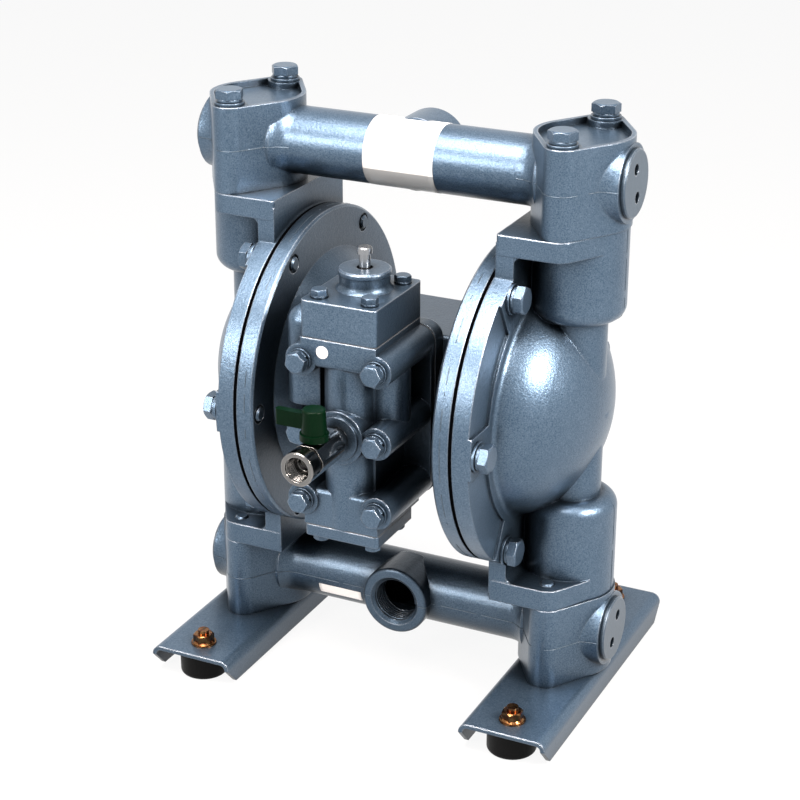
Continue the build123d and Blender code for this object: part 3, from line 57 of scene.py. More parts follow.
print("frame loaded:", len(nodes), "nodes")


# Sockets and node trees


class Link:
    # a socket that turns + - * / into Math nodes
    def __init__(self, tree, socket):
        self.tree = tree
        self.socket = socket

    def math(self, operation, *values):
        node = self.tree.nodes.new("ShaderNodeMath")
        node.operation = operation
        for index, value in enumerate(values):
            if isinstance(value, Link):
                self.tree.links.new(value.socket, node.inputs[index])
            else:
                node.inputs[index].default_value = value
        return Link(self.tree, node.outputs[0])

    def __add__(self, other):
        return self.math("ADD", self, other)

    def __radd__(self, other):
        return self.math("ADD", other, self)

    def __sub__(self, other):
        return self.math("SUBTRACT", self, other)

    def __rsub__(self, other):
        return self.math("SUBTRACT", other, self)

    def __mul__(self, other):
        return self.math("MULTIPLY", self, other)

    def __rmul__(self, other):
        return self.math("MULTIPLY", other, self)

    def __truediv__(self, other):
        return self.math("DIVIDE", self, other)

    def __rtruediv__(self, other):
        return self.math("DIVIDE", other, self)

    def clamped(self, low, high):
        return self.math("MINIMUM", self.math("MAXIMUM", self, low), high)

    def above(self, edge):
        return self.math("GREATER_THAN", self, edge)

    def below(self, edge):
        return self.math("LESS_THAN", self, edge)


class Tree:
    # a node tree with one way to add any node
    def __init__(self, tree):
        self.tree = tree

    def node(self, kind, settings=None, sockets=None, out=0):
        node = self.tree.nodes.new(kind)
        for key, value in (settings or {}).items():
            if key == "stops":
                ramp = node.color_ramp
                while len(ramp.elements) < len(value):
                    ramp.elements.new(1)
                for element, (place, colour) in zip(ramp.elements, value):
                    element.position = place
                    element.color = (*colour, 1)
            else:
                setattr(node, key, value)
        for key, value in (sockets or {}).items():
            for part in value if isinstance(value, list) else [value]:
                if isinstance(part, Link):
                    self.tree.links.new(part.socket, node.inputs[key])
                else:
                    node.inputs[key].default_value = part
        return Link(self.tree, node.outputs[out]) if out is not None else None


class Finish(Tree):
    # one material
    def __init__(self, name):
        self.material = bpy.data.materials.new(name)
        self.material.use_nodes = True
        super().__init__(self.material.node_tree)
        self.tree.nodes.clear()
        self.coords = self.node("ShaderNodeTexCoord", out="Object")

    def noise(self, size, detail, roughness=0.55):
        # size is the width of one patch, in metres
        sockets = {
            "Vector": self.coords, "Scale": 1 / size, "Detail": detail, "Roughness": roughness,
        }
        return self.node("ShaderNodeTexNoise", None, sockets)

    def axis(self, name):
        return self.node("ShaderNodeSeparateXYZ", None, {0: self.coords}, out=name)

    def mix(self, factor, first, second):
        def colour(value):
            return value if isinstance(value, Link) else (*value, 1)

        return self.node(
            "ShaderNodeMix",
            {"data_type": "RGBA"},
            {0: factor, 6: colour(first), 7: colour(second)},
            out=2,
        )

    def bump(self, height, depth, normal=None):
        sockets = {"Height": height, "Distance": depth}
        if normal:
            sockets["Normal"] = normal
        return self.node("ShaderNodeBump", None, sockets)

    def surface(self, **values):
        # names of the shader's sockets, with underscores for spaces
        sockets = {}
        for key, value in values.items():
            name = key.replace("_", " ").title().replace("Ior", "IOR")
            if key == "base_color" and not isinstance(value, Link):
                value = (*value, 1)
            sockets[name] = value
        shader = self.node("ShaderNodeBsdfPrincipled", None, sockets)
        self.node("ShaderNodeOutputMaterial", None, {"Surface": shader}, out=None)
        return self.material


class Shaper(Tree):
    # one Geometry Nodes tree with named size inputs
    def __init__(self, name, sizes):
        super().__init__(bpy.data.node_groups.new(name, "GeometryNodeTree"))
        face = self.tree.interface
        face.new_socket("Geometry", in_out="INPUT", socket_type="NodeSocketGeometry")
        for size in sizes:
            face.new_socket(size, in_out="INPUT", socket_type="NodeSocketFloat")
        face.new_socket("Geometry", in_out="OUTPUT", socket_type="NodeSocketGeometry")
        source = self.tree.nodes.new("NodeGroupInput")
        self.inputs = {out.name: Link(self.tree, out) for out in source.outputs if out.name}

    def vector(self, x=0.0, y=0.0, z=0.0):
        return self.node("ShaderNodeCombineXYZ", None, {0: x, 1: y, 2: z})

    def moved(self, shape, x=0.0, y=0.0, z=0.0):
        return self.node("GeometryNodeTransform", None, {0: shape, 1: self.vector(x, y, z)})

    def cylinder(self, sides, radius, depth):
        sizes = {"Vertices": sides, "Radius": radius, "Depth": depth}
        return self.node("GeometryNodeMeshCylinder", {"fill_type": "NGON"}, sizes)

    def cone(self, sides, top, bottom, depth):
        sizes = {"Vertices": sides, "Radius Top": top, "Radius Bottom": bottom, "Depth": depth}
        return self.node("GeometryNodeMeshCone", {"fill_type": "NGON"}, sizes)

    def circle(self, steps, radius):
        sizes = {"Resolution": steps, "Radius": radius}
        return self.node("GeometryNodeCurvePrimitiveCircle", None, sizes)

    def spiral(self, steps, turns, radius, height):
        sizes = {
            "Resolution": steps, "Rotations": turns, "Start Radius": radius,
            "End Radius": radius, "Height": height,
        }
        return self.node("GeometryNodeCurveSpiral", None, sizes)

    def cutAway(self, shape, tool):
        return self.node(
            "GeometryNodeMeshBoolean",
            {"operation": "DIFFERENCE", "solver": "EXACT"},
            {"Mesh 1": shape, "Mesh 2": tool},
        )

    def turned(self, shape, rotation, place=(0.0, 0.0, 0.0)):
        sockets = {0: shape, "Translation": place, "Rotation": rotation}
        return self.node("GeometryNodeTransform", None, sockets)

    def upright(self, path):
        # sections carried along the path stay level with Z
        return self.node("GeometryNodeSetCurveNormal", {"mode": "Z_UP"}, {0: path})

    def swept(self, path, section, **more):
        sockets = {0: path, 1: section, "Fill Caps": True, **more}
        return self.node("GeometryNodeCurveToMesh", None, sockets)

    def joined(self, shapes):
        return self.node("GeometryNodeJoinGeometry", None, {0: shapes})

    def carried(self, name, kind="FLOAT"):
        # a value that each point of the base mesh carries
        return self.node("GeometryNodeInputNamedAttribute", {"data_type": kind}, {"Name": name})

    def spin(self, angle):
        return self.node("FunctionNodeAxisAngleToRotation", None, {0: (0.0, 0.0, 1.0), 1: angle})

    def atPoints(self, shape, rotation=None):
        sockets = {0: self.inputs["Geometry"], "Instance": shape}
        if rotation:
            sockets["Rotation"] = rotation
        return self.node("GeometryNodeInstanceOnPoints", None, sockets)

    def finishWith(self, shape, material, smooth=False):
        shape = self.node("GeometryNodeRealizeInstances", None, {0: shape})
        shape = self.node("GeometryNodeSetShadeSmooth", None, {0: shape, "Shade Smooth": smooth})
        shape = self.node("GeometryNodeSetMaterial", None, {0: shape, "Material": material})
        sink = self.tree.nodes.new("NodeGroupOutput")
        self.tree.links.new(shape.socket, sink.inputs[0])


def linked(name, mesh):
    piece = bpy.data.objects.new(name, mesh)
    bpy.context.scene.collection.objects.link(piece)
    return piece


def grown(name, shaper, base, sizes):
    # the tree's result on a base mesh, as a plain mesh
    seedling = linked(name + "Base", base)
    modifier = seedling.modifiers.new("shape", "NODES")
    modifier.node_group = shaper.tree
    for item in shaper.tree.interface.items_tree:
        if item.in_out == "INPUT" and item.name in sizes:
            modifier[item.identifier] = float(sizes[item.name])
    graph = bpy.context.evaluated_depsgraph_get()
    mesh = bpy.data.meshes.new_from_object(seedling.evaluated_get(graph))
    seedling.modifiers.remove(modifier)
    bpy.data.objects.remove(seedling)
    mesh.name = name
    return linked(name, mesh)


def settle(piece, body, slot, *replaced):
    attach(piece, body)
    if replaced:
        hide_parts(*replaced)


def joinedCopy(nodeName):
    # a copy of a CAD mesh with its loose triangles joined
    shape = bmesh.new()
    shape.from_mesh(nodes[nodeName].data)
    bmesh.ops.remove_doubles(shape, verts=shape.verts, dist=2e-6)
    return shape


def closedMesh(name, shape):
    # a finished bmesh as a mesh whose faces point outwards
    bmesh.ops.recalc_face_normals(shape, faces=shape.faces[:])
    mesh = bpy.data.meshes.new(name)
    shape.to_mesh(mesh)
    shape.free()
    return mesh


def solidBoxes(nodeName):
    # lowest and highest corner of every separate solid in a node
    shape = joinedCopy(nodeName)
    seen, boxes = set(), []
    for start in shape.verts:
        if start in seen:
            continue
        seen.add(start)
        stack, cluster = [start], []
        while stack:
            vert = stack.pop()
            cluster.append(vert.co.copy())
            for edge in vert.link_edges:
                other = edge.other_vert(vert)
                if other not in seen:
                    seen.add(other)
                    stack.append(other)
        low = Vector(min(co[i] for co in cluster) for i in range(3))
        high = Vector(max(co[i] for co in cluster) for i in range(3))
        boxes.append((low, high))
    shape.free()
    return boxes


# Finishes

castPaintLook = {
    "paint": (0.025, 0.060, 0.106),
    "paintLight": (0.142, 0.202, 0.275),
    # colour of the painted highlight on edges
    "edge": (0.56, 0.60, 0.66),
    # colour of the painted shade in hollows and between parts
    "paintedShade": (0.007, 0.012, 0.018),
    "patchSize": 0.040,
    "speckSize": 0.0009,
    "grainSize": 0.0016,
    "peelSize": 0.0055,
    "grainDepth": 0.00032,
    "lightPatches": 0.35,  # how strongly patches and specks bring up the light colour
    "lightSpecks": 1.7,
    "lightStart": 0.62,
    "edgeRadius": 0.0015,
    "edgeHighlightShare": 0.9,
    "edgeSpecks": 1.4,
    "edgeOpen": 0.80,  # painted edge highlights show only where the surface is at least this open
    "edgeOpenGain": 6,
    "edgeLevel": 0.25,  # the painted edge highlight on an upright face, its least, and its rise on faces turned up, as if lit from above
    "edgeLeast": 0.15,
    "edgeRise": 1.2,
    "hollowReach": 0.014,  # painted shade in narrow hollows
    "hollowGain": 1.5,
    "hollowStart": 0.15,
    "hollowMost": 0.9,
    "wideReach": 0.150,  # painted shade between whole parts
    "wideGain": 1.9,
    "wideStart": 0.46,
    "wideShare": 0.92,
    "grainShare": 0.6,  # the rest of the relief is the wider peel
    "metallic": 0.80,
    "roughness": 0.33,
    "roughPatches": 0.08,
    "roughSpecks": 0.12,
    "gloss": 0.4,
    "coat": 0.30,
    "coatRoughness": 0.32,
}
edgeGain = 6.0  # how quickly a bent normal counts as an edge


def bevelAndEdgeHighlight(finish, radius):
    # the normal rounded over at edges, and how much of an edge is near, the mask for painted edge
    # highlights
    rounded = finish.node("ShaderNodeBevel", {"samples": 4}, {"Radius": radius}, out="Normal")
    faceNormal = finish.node("ShaderNodeNewGeometry", out="Normal")
    agree = finish.node(
        "ShaderNodeVectorMath",
        {"operation": "DOT_PRODUCT"},
        {0: rounded, 1: faceNormal},
        out="Value",
    )
    return rounded, ((1 - agree) * edgeGain).clamped(0, 1)


def openness(finish, reach):
    # 1 in the open, less where something stands within reach
    return finish.node("ShaderNodeAmbientOcclusion", {"samples": 6}, {"Distance": reach}, out="AO")


def castPaint(name, look, grain=1.0):
    finish = Finish(name)
    patch = finish.noise(look["patchSize"], 3)
    speck = finish.noise(look["speckSize"], 2, 0.7)
    grainNoise = finish.noise(look["grainSize"], 3, 0.6)
    rounded, edge = bevelAndEdgeHighlight(finish, look["edgeRadius"])
    hollow = openness(finish, look["hollowReach"])
    # painted edge highlight: lighter edges, brighter where they face up as if lit from above, and
    # only in the open
    lift = finish.node("ShaderNodeSeparateXYZ", None, {0: rounded}, out="Z")
    topLit = (lift * look["edgeRise"] + look["edgeLevel"]).clamped(look["edgeLeast"], 1)
    clear = ((hollow - look["edgeOpen"]) * look["edgeOpenGain"]).clamped(0, 1)
    edge = edge * (speck * look["edgeSpecks"]).clamped(0, 1) * clear * topLit
    light = patch * look["lightPatches"] + speck * look["lightSpecks"] - look["lightStart"]
    colour = finish.mix(light.clamped(0, 1), look["paint"], look["paintLight"])
    # painted shade: darker in narrow hollows and between whole parts, where less light reaches
    narrow = (1 - hollow) * look["hollowGain"] - look["hollowStart"]
    colour = finish.mix(narrow.clamped(0, look["hollowMost"]), colour, look["paintedShade"])
    wide = (1 - openness(finish, look["wideReach"])) * look["wideGain"] - look["wideStart"]
    colour = finish.mix(wide.clamped(0, 1) * look["wideShare"], colour, look["paintedShade"])
    # the painted edge highlight goes over the paint
    colour = finish.mix(edge * look["edgeHighlightShare"], colour, look["edge"])
    peel = finish.noise(look["peelSize"], 2)
    height = grainNoise * look["grainShare"] + peel * (1 - look["grainShare"])
    roughFoot = look["roughness"] - (look["roughPatches"] + look["roughSpecks"]) / 2
    return finish.surface(
        base_color=colour,
        metallic=look["metallic"],
        roughness=patch * look["roughPatches"] + speck * look["roughSpecks"] + roughFoot,
        normal=finish.bump(height, look["grainDepth"] * grain, rounded),
        specular_ior_level=look["gloss"],
        coat_weight=look["coat"],
        coat_roughness=look["coatRoughness"],
    )


metalLook = {
    # the edge values set the painted highlight on metal edges
    "cloudSize": 0.012, "darker": 0.78, "edgeHighlightShare": 0.5, "edgeHighlightLighter": 2.2, "edgeMost": 0.9,
    "roughSwing": 0.10,
}


def plainMetal(name, colour, roughness, grainDepth=0.00003, grainSize=0.0015, edgeRadius=0.0):
    look = metalLook
    finish = Finish(name)
    cloud = finish.noise(look["cloudSize"], 3)
    grain = finish.noise(grainSize, 3)
    shade = finish.mix(cloud, colour, tuple(c * look["darker"] for c in colour))
    rounded = None
    if edgeRadius:
        rounded, edge = bevelAndEdgeHighlight(finish, edgeRadius)
        # painted highlight: edges lighter than the metal
        edgeHighlightColour = tuple(min(look["edgeMost"], c * look["edgeHighlightLighter"]) for c in colour)
        shade = finish.mix(edge * look["edgeHighlightShare"], shade, edgeHighlightColour)
    return finish.surface(
        base_color=shade,
        metallic=1.0,
        roughness=cloud * look["roughSwing"] + (roughness - look["roughSwing"] / 2),
        normal=finish.bump(grain, grainDepth, rounded),
    )


mouldedLook = {
    "cloudSize": 0.009, "grainSize": 0.0009, "lighter": 1.25, "bloom": 0.0004, "roughSwing": 0.12,
}


def moulded(name, colour, roughness, grainDepth=0.00004, gloss=0.5):
    look = mouldedLook
    finish = Finish(name)
    cloud = finish.noise(look["cloudSize"], 3)
    grain = finish.noise(look["grainSize"], 2)
    pale = tuple(min(1, c * look["lighter"] + look["bloom"]) for c in colour)
    return finish.surface(
        base_color=finish.mix(cloud, colour, pale),
        roughness=cloud * look["roughSwing"] + (roughness - look["roughSwing"] / 2),
        normal=finish.bump(grain, grainDepth),
        specular_ior_level=gloss,
    )


yellowZincLook = {
    "cloudSize": 0.0045,
    "stops": [
        (0.34, (0.070, 0.014, 0.008)),
        (0.46, (0.30, 0.15, 0.055)),
        (0.56, (0.16, 0.050, 0.020)),
        (0.70, (0.05, 0.05, 0.020)),
    ],
    "roughness": 0.20,
    "roughSwing": 0.20,
    "grainSize": 0.0007,
    "grainDepth": 0.00003,
}


def yellowZinc(name, look):
    finish = Finish(name)
    cloud = finish.noise(look["cloudSize"], 3, 0.6)
    shade = finish.node("ShaderNodeValToRGB", {"stops": look["stops"]}, {"Fac": cloud})
    return finish.surface(
        base_color=shade,
        metallic=1.0,
        roughness=cloud * look["roughSwing"] + (look["roughness"] - look["roughSwing"] / 2),
        normal=finish.bump(finish.noise(look["grainSize"], 2), look["grainDepth"]),
    )


finishes = {
    "cast_paint": castPaint("castPaint", castPaintLook),
    "bolt_paint": castPaint(
        "boltPaint", {**castPaintLook, "roughness": 0.34, "edgeRadius": 0.0005}, grain=0.35
    ),
    "plug_paint": castPaint(
        "plugPaint",
        {
            **castPaintLook, "paint": (0.022, 0.046, 0.075), "paintLight": (0.070, 0.105, 0.145),
            "metallic": 0.6,
        },
        grain=0.5,
    ),
    "channel_paint": castPaint("channelPaint", {**castPaintLook, "roughness": 0.38}, grain=0.45),
    "black_rubber": moulded("blackRubber", (0.0006, 0.0006, 0.0008), 0.8, gloss=0.0),
    "foot_rubber": moulded(
        "footRubber", (0.0010, 0.0010, 0.0012), 0.42, grainDepth=0.00008, gloss=0.10
    ),
    "steel": plainMetal("machinedSteel", (0.36, 0.37, 0.385), 0.28),
    "chrome": plainMetal(
        "chromePlate", (0.24, 0.235, 0.23), 0.11, grainDepth=0.000008, grainSize=0.004,
        edgeRadius=0.0006,
    ),
    "zinc": yellowZinc("yellowZinc", yellowZincLook),
    "bare_aluminium": plainMetal("bareAluminium", (0.66, 0.67, 0.69), 0.36),
    "brass": plainMetal("brass", (0.72, 0.52, 0.22), 0.3),
    "lever_green": moulded(
        "leverGreen", (0.0002, 0.0060, 0.0018), 0.30, grainDepth=0.00006, gloss=0.06
    ),
    "white_plastic": moulded("whitePlastic", (0.80, 0.80, 0.78), 0.42),
    "gasket": moulded("gasketSheet", (0.06, 0.06, 0.06), 0.7),
    "silencer_plastic": moulded("silencerPlastic", (0.018, 0.018, 0.019), 0.5),
}
slotOf = {part["node"]: part["material_slot"] for part in frame["record"]["subparts"]}
for nodeName, node in nodes.items():
    node.data.materials.clear()
    node.data.materials.append(finishes[slotOf[nodeName]])
nodes["foot_bolts"].data.materials[0] = finishes["zinc"]
nodes["reset_button"].data.materials[0] = finishes["steel"]
# seam beads take a lighter paint than the casting, a painted highlight along them
seamPaint = castPaint(
    "seamPaint",
    {
        **castPaintLook, "paint": (0.08, 0.13, 0.18), "paintLight": (0.22, 0.28, 0.35),
        "wideShare": 0.3, "edgeHighlightShare": 0.0,
    },
    grain=0.5,
)
print("finishes made:", len(finishes) + 1)


# Hex bolts: flat washer, split washer, head with a turned top, shank with a threaded tip

boltSizes = {
    "M10": {
        "flats": 0.017, "head": 0.0064, "washer": 0.0102, "flat": 0.0020, "split": 0.0022,
        "splitRadius": 0.0088, "radius": 0.005, "pitch": 0.0015,
    },
    "M8": {
        "flats": 0.013, "head": 0.0053, "washer": 0.0080, "flat": 0.0016, "split": 0.0020,
        "splitRadius": 0.0070, "radius": 0.004, "pitch": 0.00125,
    },
    "M6": {
        "flats": 0.010, "head": 0.0040, "washer": 0.0060, "flat": 0.0, "split": 0.0016,
        "splitRadius": 0.0056, "radius": 0.003, "pitch": 0.001,
    },
}
# outward is the side all heads face, or 0 where they face away from the middle
boltRows = {
    "chamberBolts": {"node": "chamber_bolts", "size": "M10", "axis": 0, "outward": 0},
    "manifoldBolts": {"node": "manifold_bolts", "size": "M10", "axis": 2, "outward": 0},
    "valveBolts": {"node": "valve_bolts", "size": "M8", "axis": 1, "outward": -1},
    "capBolts": {"node": "cap_bolts", "size": "M6", "axis": 2, "outward": 0},
}
boltShares = {
    "turnedTop": 0.46,  # of the flats
    "shank": 0.93,  # of the radius, as the next three
    "tip": 0.74,
    "thread": 0.90,
    "crest": 0.10,
    "tipLength": 0.6,  # of the pitch
    "threadTurns": 5,
    "split": 0.93,  # of the split washer's room, as the next one
    "splitRise": 0.10,
    "splitSweep": 0.955,  # of a whole turn
    "washerCorner": 0.16,  # of the washer's height
}


def hexHead(shaper, flats, height, foot):
    # hexagon cut by a 30 degree cone, standing on foot
    top = boltShares["turnedTop"]
    prism = shaper.cylinder(6, flats / math.sqrt(3), height)
    turned = shaper.cone(48, flats * top, flats * top + height * math.sqrt(3), height)
    prism = shaper.moved(prism, z=foot + height * 0.5)
    turned = shaper.moved(turned, z=foot)
    return shaper.node(
        "GeometryNodeMeshBoolean",
        {"operation": "INTERSECT", "solver": "EXACT"},
        {"Mesh 2": [prism, turned]},
    )


def ring(shaper, inner, outer, height, foot, sweep=1.0, rise=0.0):
    # a washer: a rounded section carried around a turn
    path = shaper.upright(shaper.spiral(40, sweep, (inner + outer) * 0.5, rise))
    section = shaper.node(
        "GeometryNodeCurvePrimitiveQuadrilateral",
        None,
        {"Width": outer - inner, "Height": height},
    )
    corner = height * boltShares["washerCorner"]
    section = shaper.node(
        "GeometryNodeFilletCurve",
        {"mode": "POLY"},
        {0: section, "Count": 2, "Radius": corner, "Limit Radius": True},
    )
    return shaper.moved(shaper.swept(path, section), z=foot + height * 0.5)


def boltShaper():
    sizes = ["flats", "head", "washer", "flat", "split", "splitRadius", "radius", "pitch", "grip"]
    shaper = Shaper("hexBolt", sizes)
    size, share = shaper.inputs, boltShares
    stack = size["flat"] + size["split"]
    head = hexHead(shaper, size["flats"], size["head"], stack)
    flatWasher = ring(shaper, size["radius"], size["washer"], size["flat"], 0.0)
    splitWasher = ring(
        shaper, size["radius"], size["splitRadius"], size["split"] * share["split"],
        size["flat"], share["splitSweep"], size["split"] * share["splitRise"],
    )
    tip = size["pitch"] * share["tipLength"]
    length = size["grip"] + stack - tip
    shank = shaper.cylinder(32, size["radius"] * share["shank"], length)
    shank = shaper.moved(shank, z=stack - length * 0.5)
    point = shaper.cone(32, size["radius"] * share["shank"], size["radius"] * share["tip"], tip)
    point = shaper.moved(point, z=-1.0 * size["grip"])
    turns = share["threadTurns"]
    path = shaper.spiral(24, float(turns), size["radius"] * share["thread"], size["pitch"] * turns)
    crest = shaper.circle(4, size["radius"] * share["crest"])
    thread = shaper.moved(shaper.swept(shaper.upright(path), crest), z=tip - size["grip"])
    bolt = shaper.joined([head, flatWasher, splitWasher, shank, point, thread])
    standing = shaper.node(
        "FunctionNodeAlignRotationToVector",
        {"axis": "Z"},
        {"Vector": shaper.carried("axis", "FLOAT_VECTOR")},
    )
    spun = shaper.node(
        "FunctionNodeRotateRotation",
        {"rotation_space": "LOCAL"},
        {0: standing, 1: shaper.spin(shaper.carried("turn"))},
    )
    shaper.finishWith(shaper.atPoints(bolt, spun), finishes["bolt_paint"])
    return shaper


def carry(base, name, kind, key, values):
    # give each point of a base mesh a value that the tree reads
    for item, value in zip(base.attributes.new(name, kind, "POINT").data, values):
        setattr(item, key, value)


def makeBolts():
    shaper = boltShaper()
    dice = random.Random(7)
    made = 0
    for name, row in boltRows.items():
        size = boltSizes[row["size"]]
        stack = size["flat"] + size["split"] + size["head"]
        k = row["axis"]
        middle = (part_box(row["node"])[0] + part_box(row["node"])[1]) / 2
        seats = {1: [], -1: []}
        grips = {}
        for low, high in solidBoxes(row["node"]):
            centre = (low + high) / 2
            side = row["outward"] or (1 if centre[k] > middle[k] else -1)
            seat = centre.copy()
            seat[k] = (high[k] if side > 0 else low[k]) - side * stack
            seats[side].append(seat)
            grips[side] = (high[k] - low[k]) - stack
        for side, places in seats.items():
            if not places:
                continue
            suffix = {1: "Plus", -1: "Minus"}[side]
            base = bpy.data.meshes.new(name + "Seats")
            base.from_pydata([tuple(seat) for seat in places], [], [])
            direction = [0.0, 0.0, 0.0]
            direction[k] = side
            carry(base, "axis", "FLOAT_VECTOR", "vector", [direction] * len(places))
            turns = [dice.uniform(0, math.pi / 3) for place in places]
            carry(base, "turn", "FLOAT", "value", turns)
            piece = grown(name + suffix, shaper, base, {**size, "grip": grips[side]})
            settle(piece, "housing", "bolt_paint", row["node"])
            made += len(places)
    print("bolts made:", made)


makeBolts()


# Flange nuts on the feet and the plugs that close the manifold ends

footNutLook = {
    "flats": 0.013, "height": 0.0075, "flange": 0.0090, "skirt": 0.0022,
    "skirtTop": 0.52, "brimInner": 0.4,  # of the flats
    "skirtFoot": 0.99,  # of the flange
    "brimHeight": 0.45,  # of the skirt
}


def makeFootNuts():
    look = footNutLook
    shaper = Shaper("flangeNut", ["flats", "height", "flange", "skirt"])
    size = shaper.inputs
    step = size["skirt"] * 0.5
    body = hexHead(shaper, size["flats"], size["height"] - step, step)
    skirt = shaper.cone(
        48, size["flats"] * look["skirtTop"], size["flange"] * look["skirtFoot"], size["skirt"]
    )
    brim = ring(
        shaper, size["flats"] * look["brimInner"], size["flange"],
        size["skirt"] * look["brimHeight"], 0.0,
    )
    nut = shaper.joined([body, skirt, brim])
    nuts = shaper.atPoints(nut, shaper.spin(shaper.carried("turn")))
    shaper.finishWith(nuts, finishes["zinc"])
    dice = random.Random(3)
    seats = [((low + high) / 2, low.z) for low, high in solidBoxes("foot_nuts")]
    base = bpy.data.meshes.new("footNutSeats")
    base.from_pydata([(centre.x, centre.y, foot) for centre, foot in seats], [], [])
    carry(base, "turn", "FLOAT", "value", [dice.uniform(0, math.pi / 3) for seat in seats])
    settle(grown("footNuts", shaper, base, look), "housing", "zinc", "foot_nuts")
    print("foot nuts made:", len(seats))


plugLook = {
    "bodyRadius": 0.0194, "headRadius": 0.0227, "headHeight": 0.0032, "edge": 0.0009,
    "keyRadius": 0.0038, "keySpacing": 0.0196, "keyDepth": 0.0050,
    # how far each plug is screwed round, in degrees, by end and by upper or lower manifold
    "tilts": {(1, 1): 11.0, (1, -1): -28.0, (-1, 1): 34.0, (-1, -1): 8.0},
}


def lathed(profile, steps=72):
    # a closed solid of revolution about Z from (radius, height) pairs
    shape = bmesh.new()
    rings = []
    for radius, height in profile:
        if radius == 0:
            rings.append([shape.verts.new((0, 0, height))])
            continue
        line = []
        for step in range(steps):
            angle = 2 * math.pi * step / steps
            place = (radius * math.cos(angle), radius * math.sin(angle), height)
            line.append(shape.verts.new(place))
        rings.append(line)
    for low, high in zip(rings, rings[1:]):
        for step in range(steps):
            after = (step + 1) % steps
            if len(low) == 1:
                shape.faces.new((low[0], high[after], high[step]))
            elif len(high) == 1:
                shape.faces.new((low[step], low[after], high[0]))
            else:
                shape.faces.new((low[step], low[after], high[after], high[step]))
    return closedMesh("lathed", shape)


def makePlugs():
    look = plugLook
    boxes = solidBoxes("manifold_plugs")
    depth = boxes[0][1].x - boxes[0][0].x - look["headHeight"]
    rim, top = look["headRadius"], look["headHeight"]
    base = lathed(
        [
            (0, -depth), (look["bodyRadius"], -depth), (look["bodyRadius"], 0), (rim, 0),
            (rim, top - look["edge"]), (rim - look["edge"], top), (0, top),
        ]
    )
    shaper = Shaper("manifoldPlug", ["keyRadius", "keySpacing", "keyDepth"])
    size = shaper.inputs
    plug = size["Geometry"]
    for side in (-0.5, 0.5):
        key = shaper.cylinder(32, size["keyRadius"], size["keyDepth"] * 2)
        plug = shaper.cutAway(plug, shaper.moved(key, x=size["keySpacing"] * side, z=top))
    middle = (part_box("manifold_plugs")[0].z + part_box("manifold_plugs")[1].z) / 2
    plugs = []
    for low, high in boxes:
        centre = (low + high) / 2
        side = 1 if centre.x > 0 else -1
        tilt = math.radians(look["tilts"][side, 1 if centre.z > middle else -1])
        face = high.x if side > 0 else low.x
        place = (face - side * top, centre.y, centre.z)
        plugs.append(
            shaper.turned(
                shaper.turned(plug, (0.0, 0.0, tilt)), (0.0, side * math.pi / 2, 0.0), place
            )
        )
    shaper.finishWith(shaper.joined(plugs), finishes["plug_paint"])
    settle(grown("manifoldPlugs", shaper, base, look), "housing", "plug_paint", "manifold_plugs")
    print("plugs made:", len(boxes))


# Coil springs in place of the CAD springs; fixed is the end that stays

springRows = {
    "pilotSpringLeft": {
        "node": "pilot_spring_left", "joint": "pilot_left_push", "axis": 0, "fixed": 1,
        "wire": 0.0006, "turns": 4, "travel": 0.0020,
    },
    "pilotSpringRight": {
        "node": "pilot_spring_right", "joint": "pilot_right_push", "axis": 0, "fixed": -1,
        "wire": 0.0006, "turns": 4, "travel": 0.0020,
    },
    "resetSpring": {
        "node": "reset_spring", "joint": "reset_push", "axis": 2, "fixed": -1,
        "wire": 0.0008, "turns": 4, "travel": 0.0060,
    },
}


def springShaper():
    shaper = Shaper("coilSpring", ["coil", "wire", "length", "turns", "lean"])
    size = shaper.inputs
    line = shaper.spiral(32, size["turns"], size["coil"], size["length"] - size["wire"] * 2)
    wire = shaper.swept(line, shaper.circle(10, size["wire"]))
    wire = shaper.turned(shaper.moved(wire, z=size["wire"]), shaper.vector(y=size["lean"]))
    shaper.finishWith(wire, finishes["steel"], smooth=True)
    return shaper


def makeSprings():
    shaper = springShaper()
    for name, row in springRows.items():
        low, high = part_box(row["node"])
        middle = (low + high) / 2
        k, across = row["axis"], 1
        length = high[k] - low[k]
        base = bpy.data.meshes.new(name + "Seat")
        base.from_pydata([(0, 0, 0)], [], [])
        sizes = {
            "coil": (high[across] - low[across]) / 2 - row["wire"],
            "wire": row["wire"],
            "length": length,
            "turns": row["turns"],
            "lean": math.pi / 2 if k == 0 else 0.0,
        }
        spring = grown(name, shaper, base, sizes)
        foot = middle.copy()
        foot[k] = low[k]
        spring.data.transform(Matrix.Translation(foot))
        settle(spring, "housing", "steel", row["node"])
        anchor = middle.copy()
        anchor[k] = high[k] if row["fixed"] > 0 else low[k]
        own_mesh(spring)
    print("springs made:", len(springRows))


makeFootNuts()
makePlugs()
makeSprings()


# Threads inside the suction port, the discharge port and the air inlet

threadRows = {
    "suctionThread": {
        "node": "suction_manifold", "side": -1, "body": "housing", "slot": "cast_paint",
        "radius": 0.0160, "pitch": 0.00231, "turns": 5.0, "mouth": 0.0286, "crest": 0.0010,
    },
    "dischargeThread": {
        "node": "discharge_manifold", "side": 1, "body": "housing", "slot": "cast_paint",
        "radius": 0.0160, "pitch": 0.00231, "turns": 5.0, "mouth": 0.0286, "crest": 0.0010,
    },
    "inletThread": {
        "node": "inlet_valve_end", "side": -1, "body": "housing", "slot": "chrome",
        "radius": 0.0084, "pitch": 0.00134, "turns": 7.0, "mouth": 0.1703, "crest": 0.0006,
    },
}


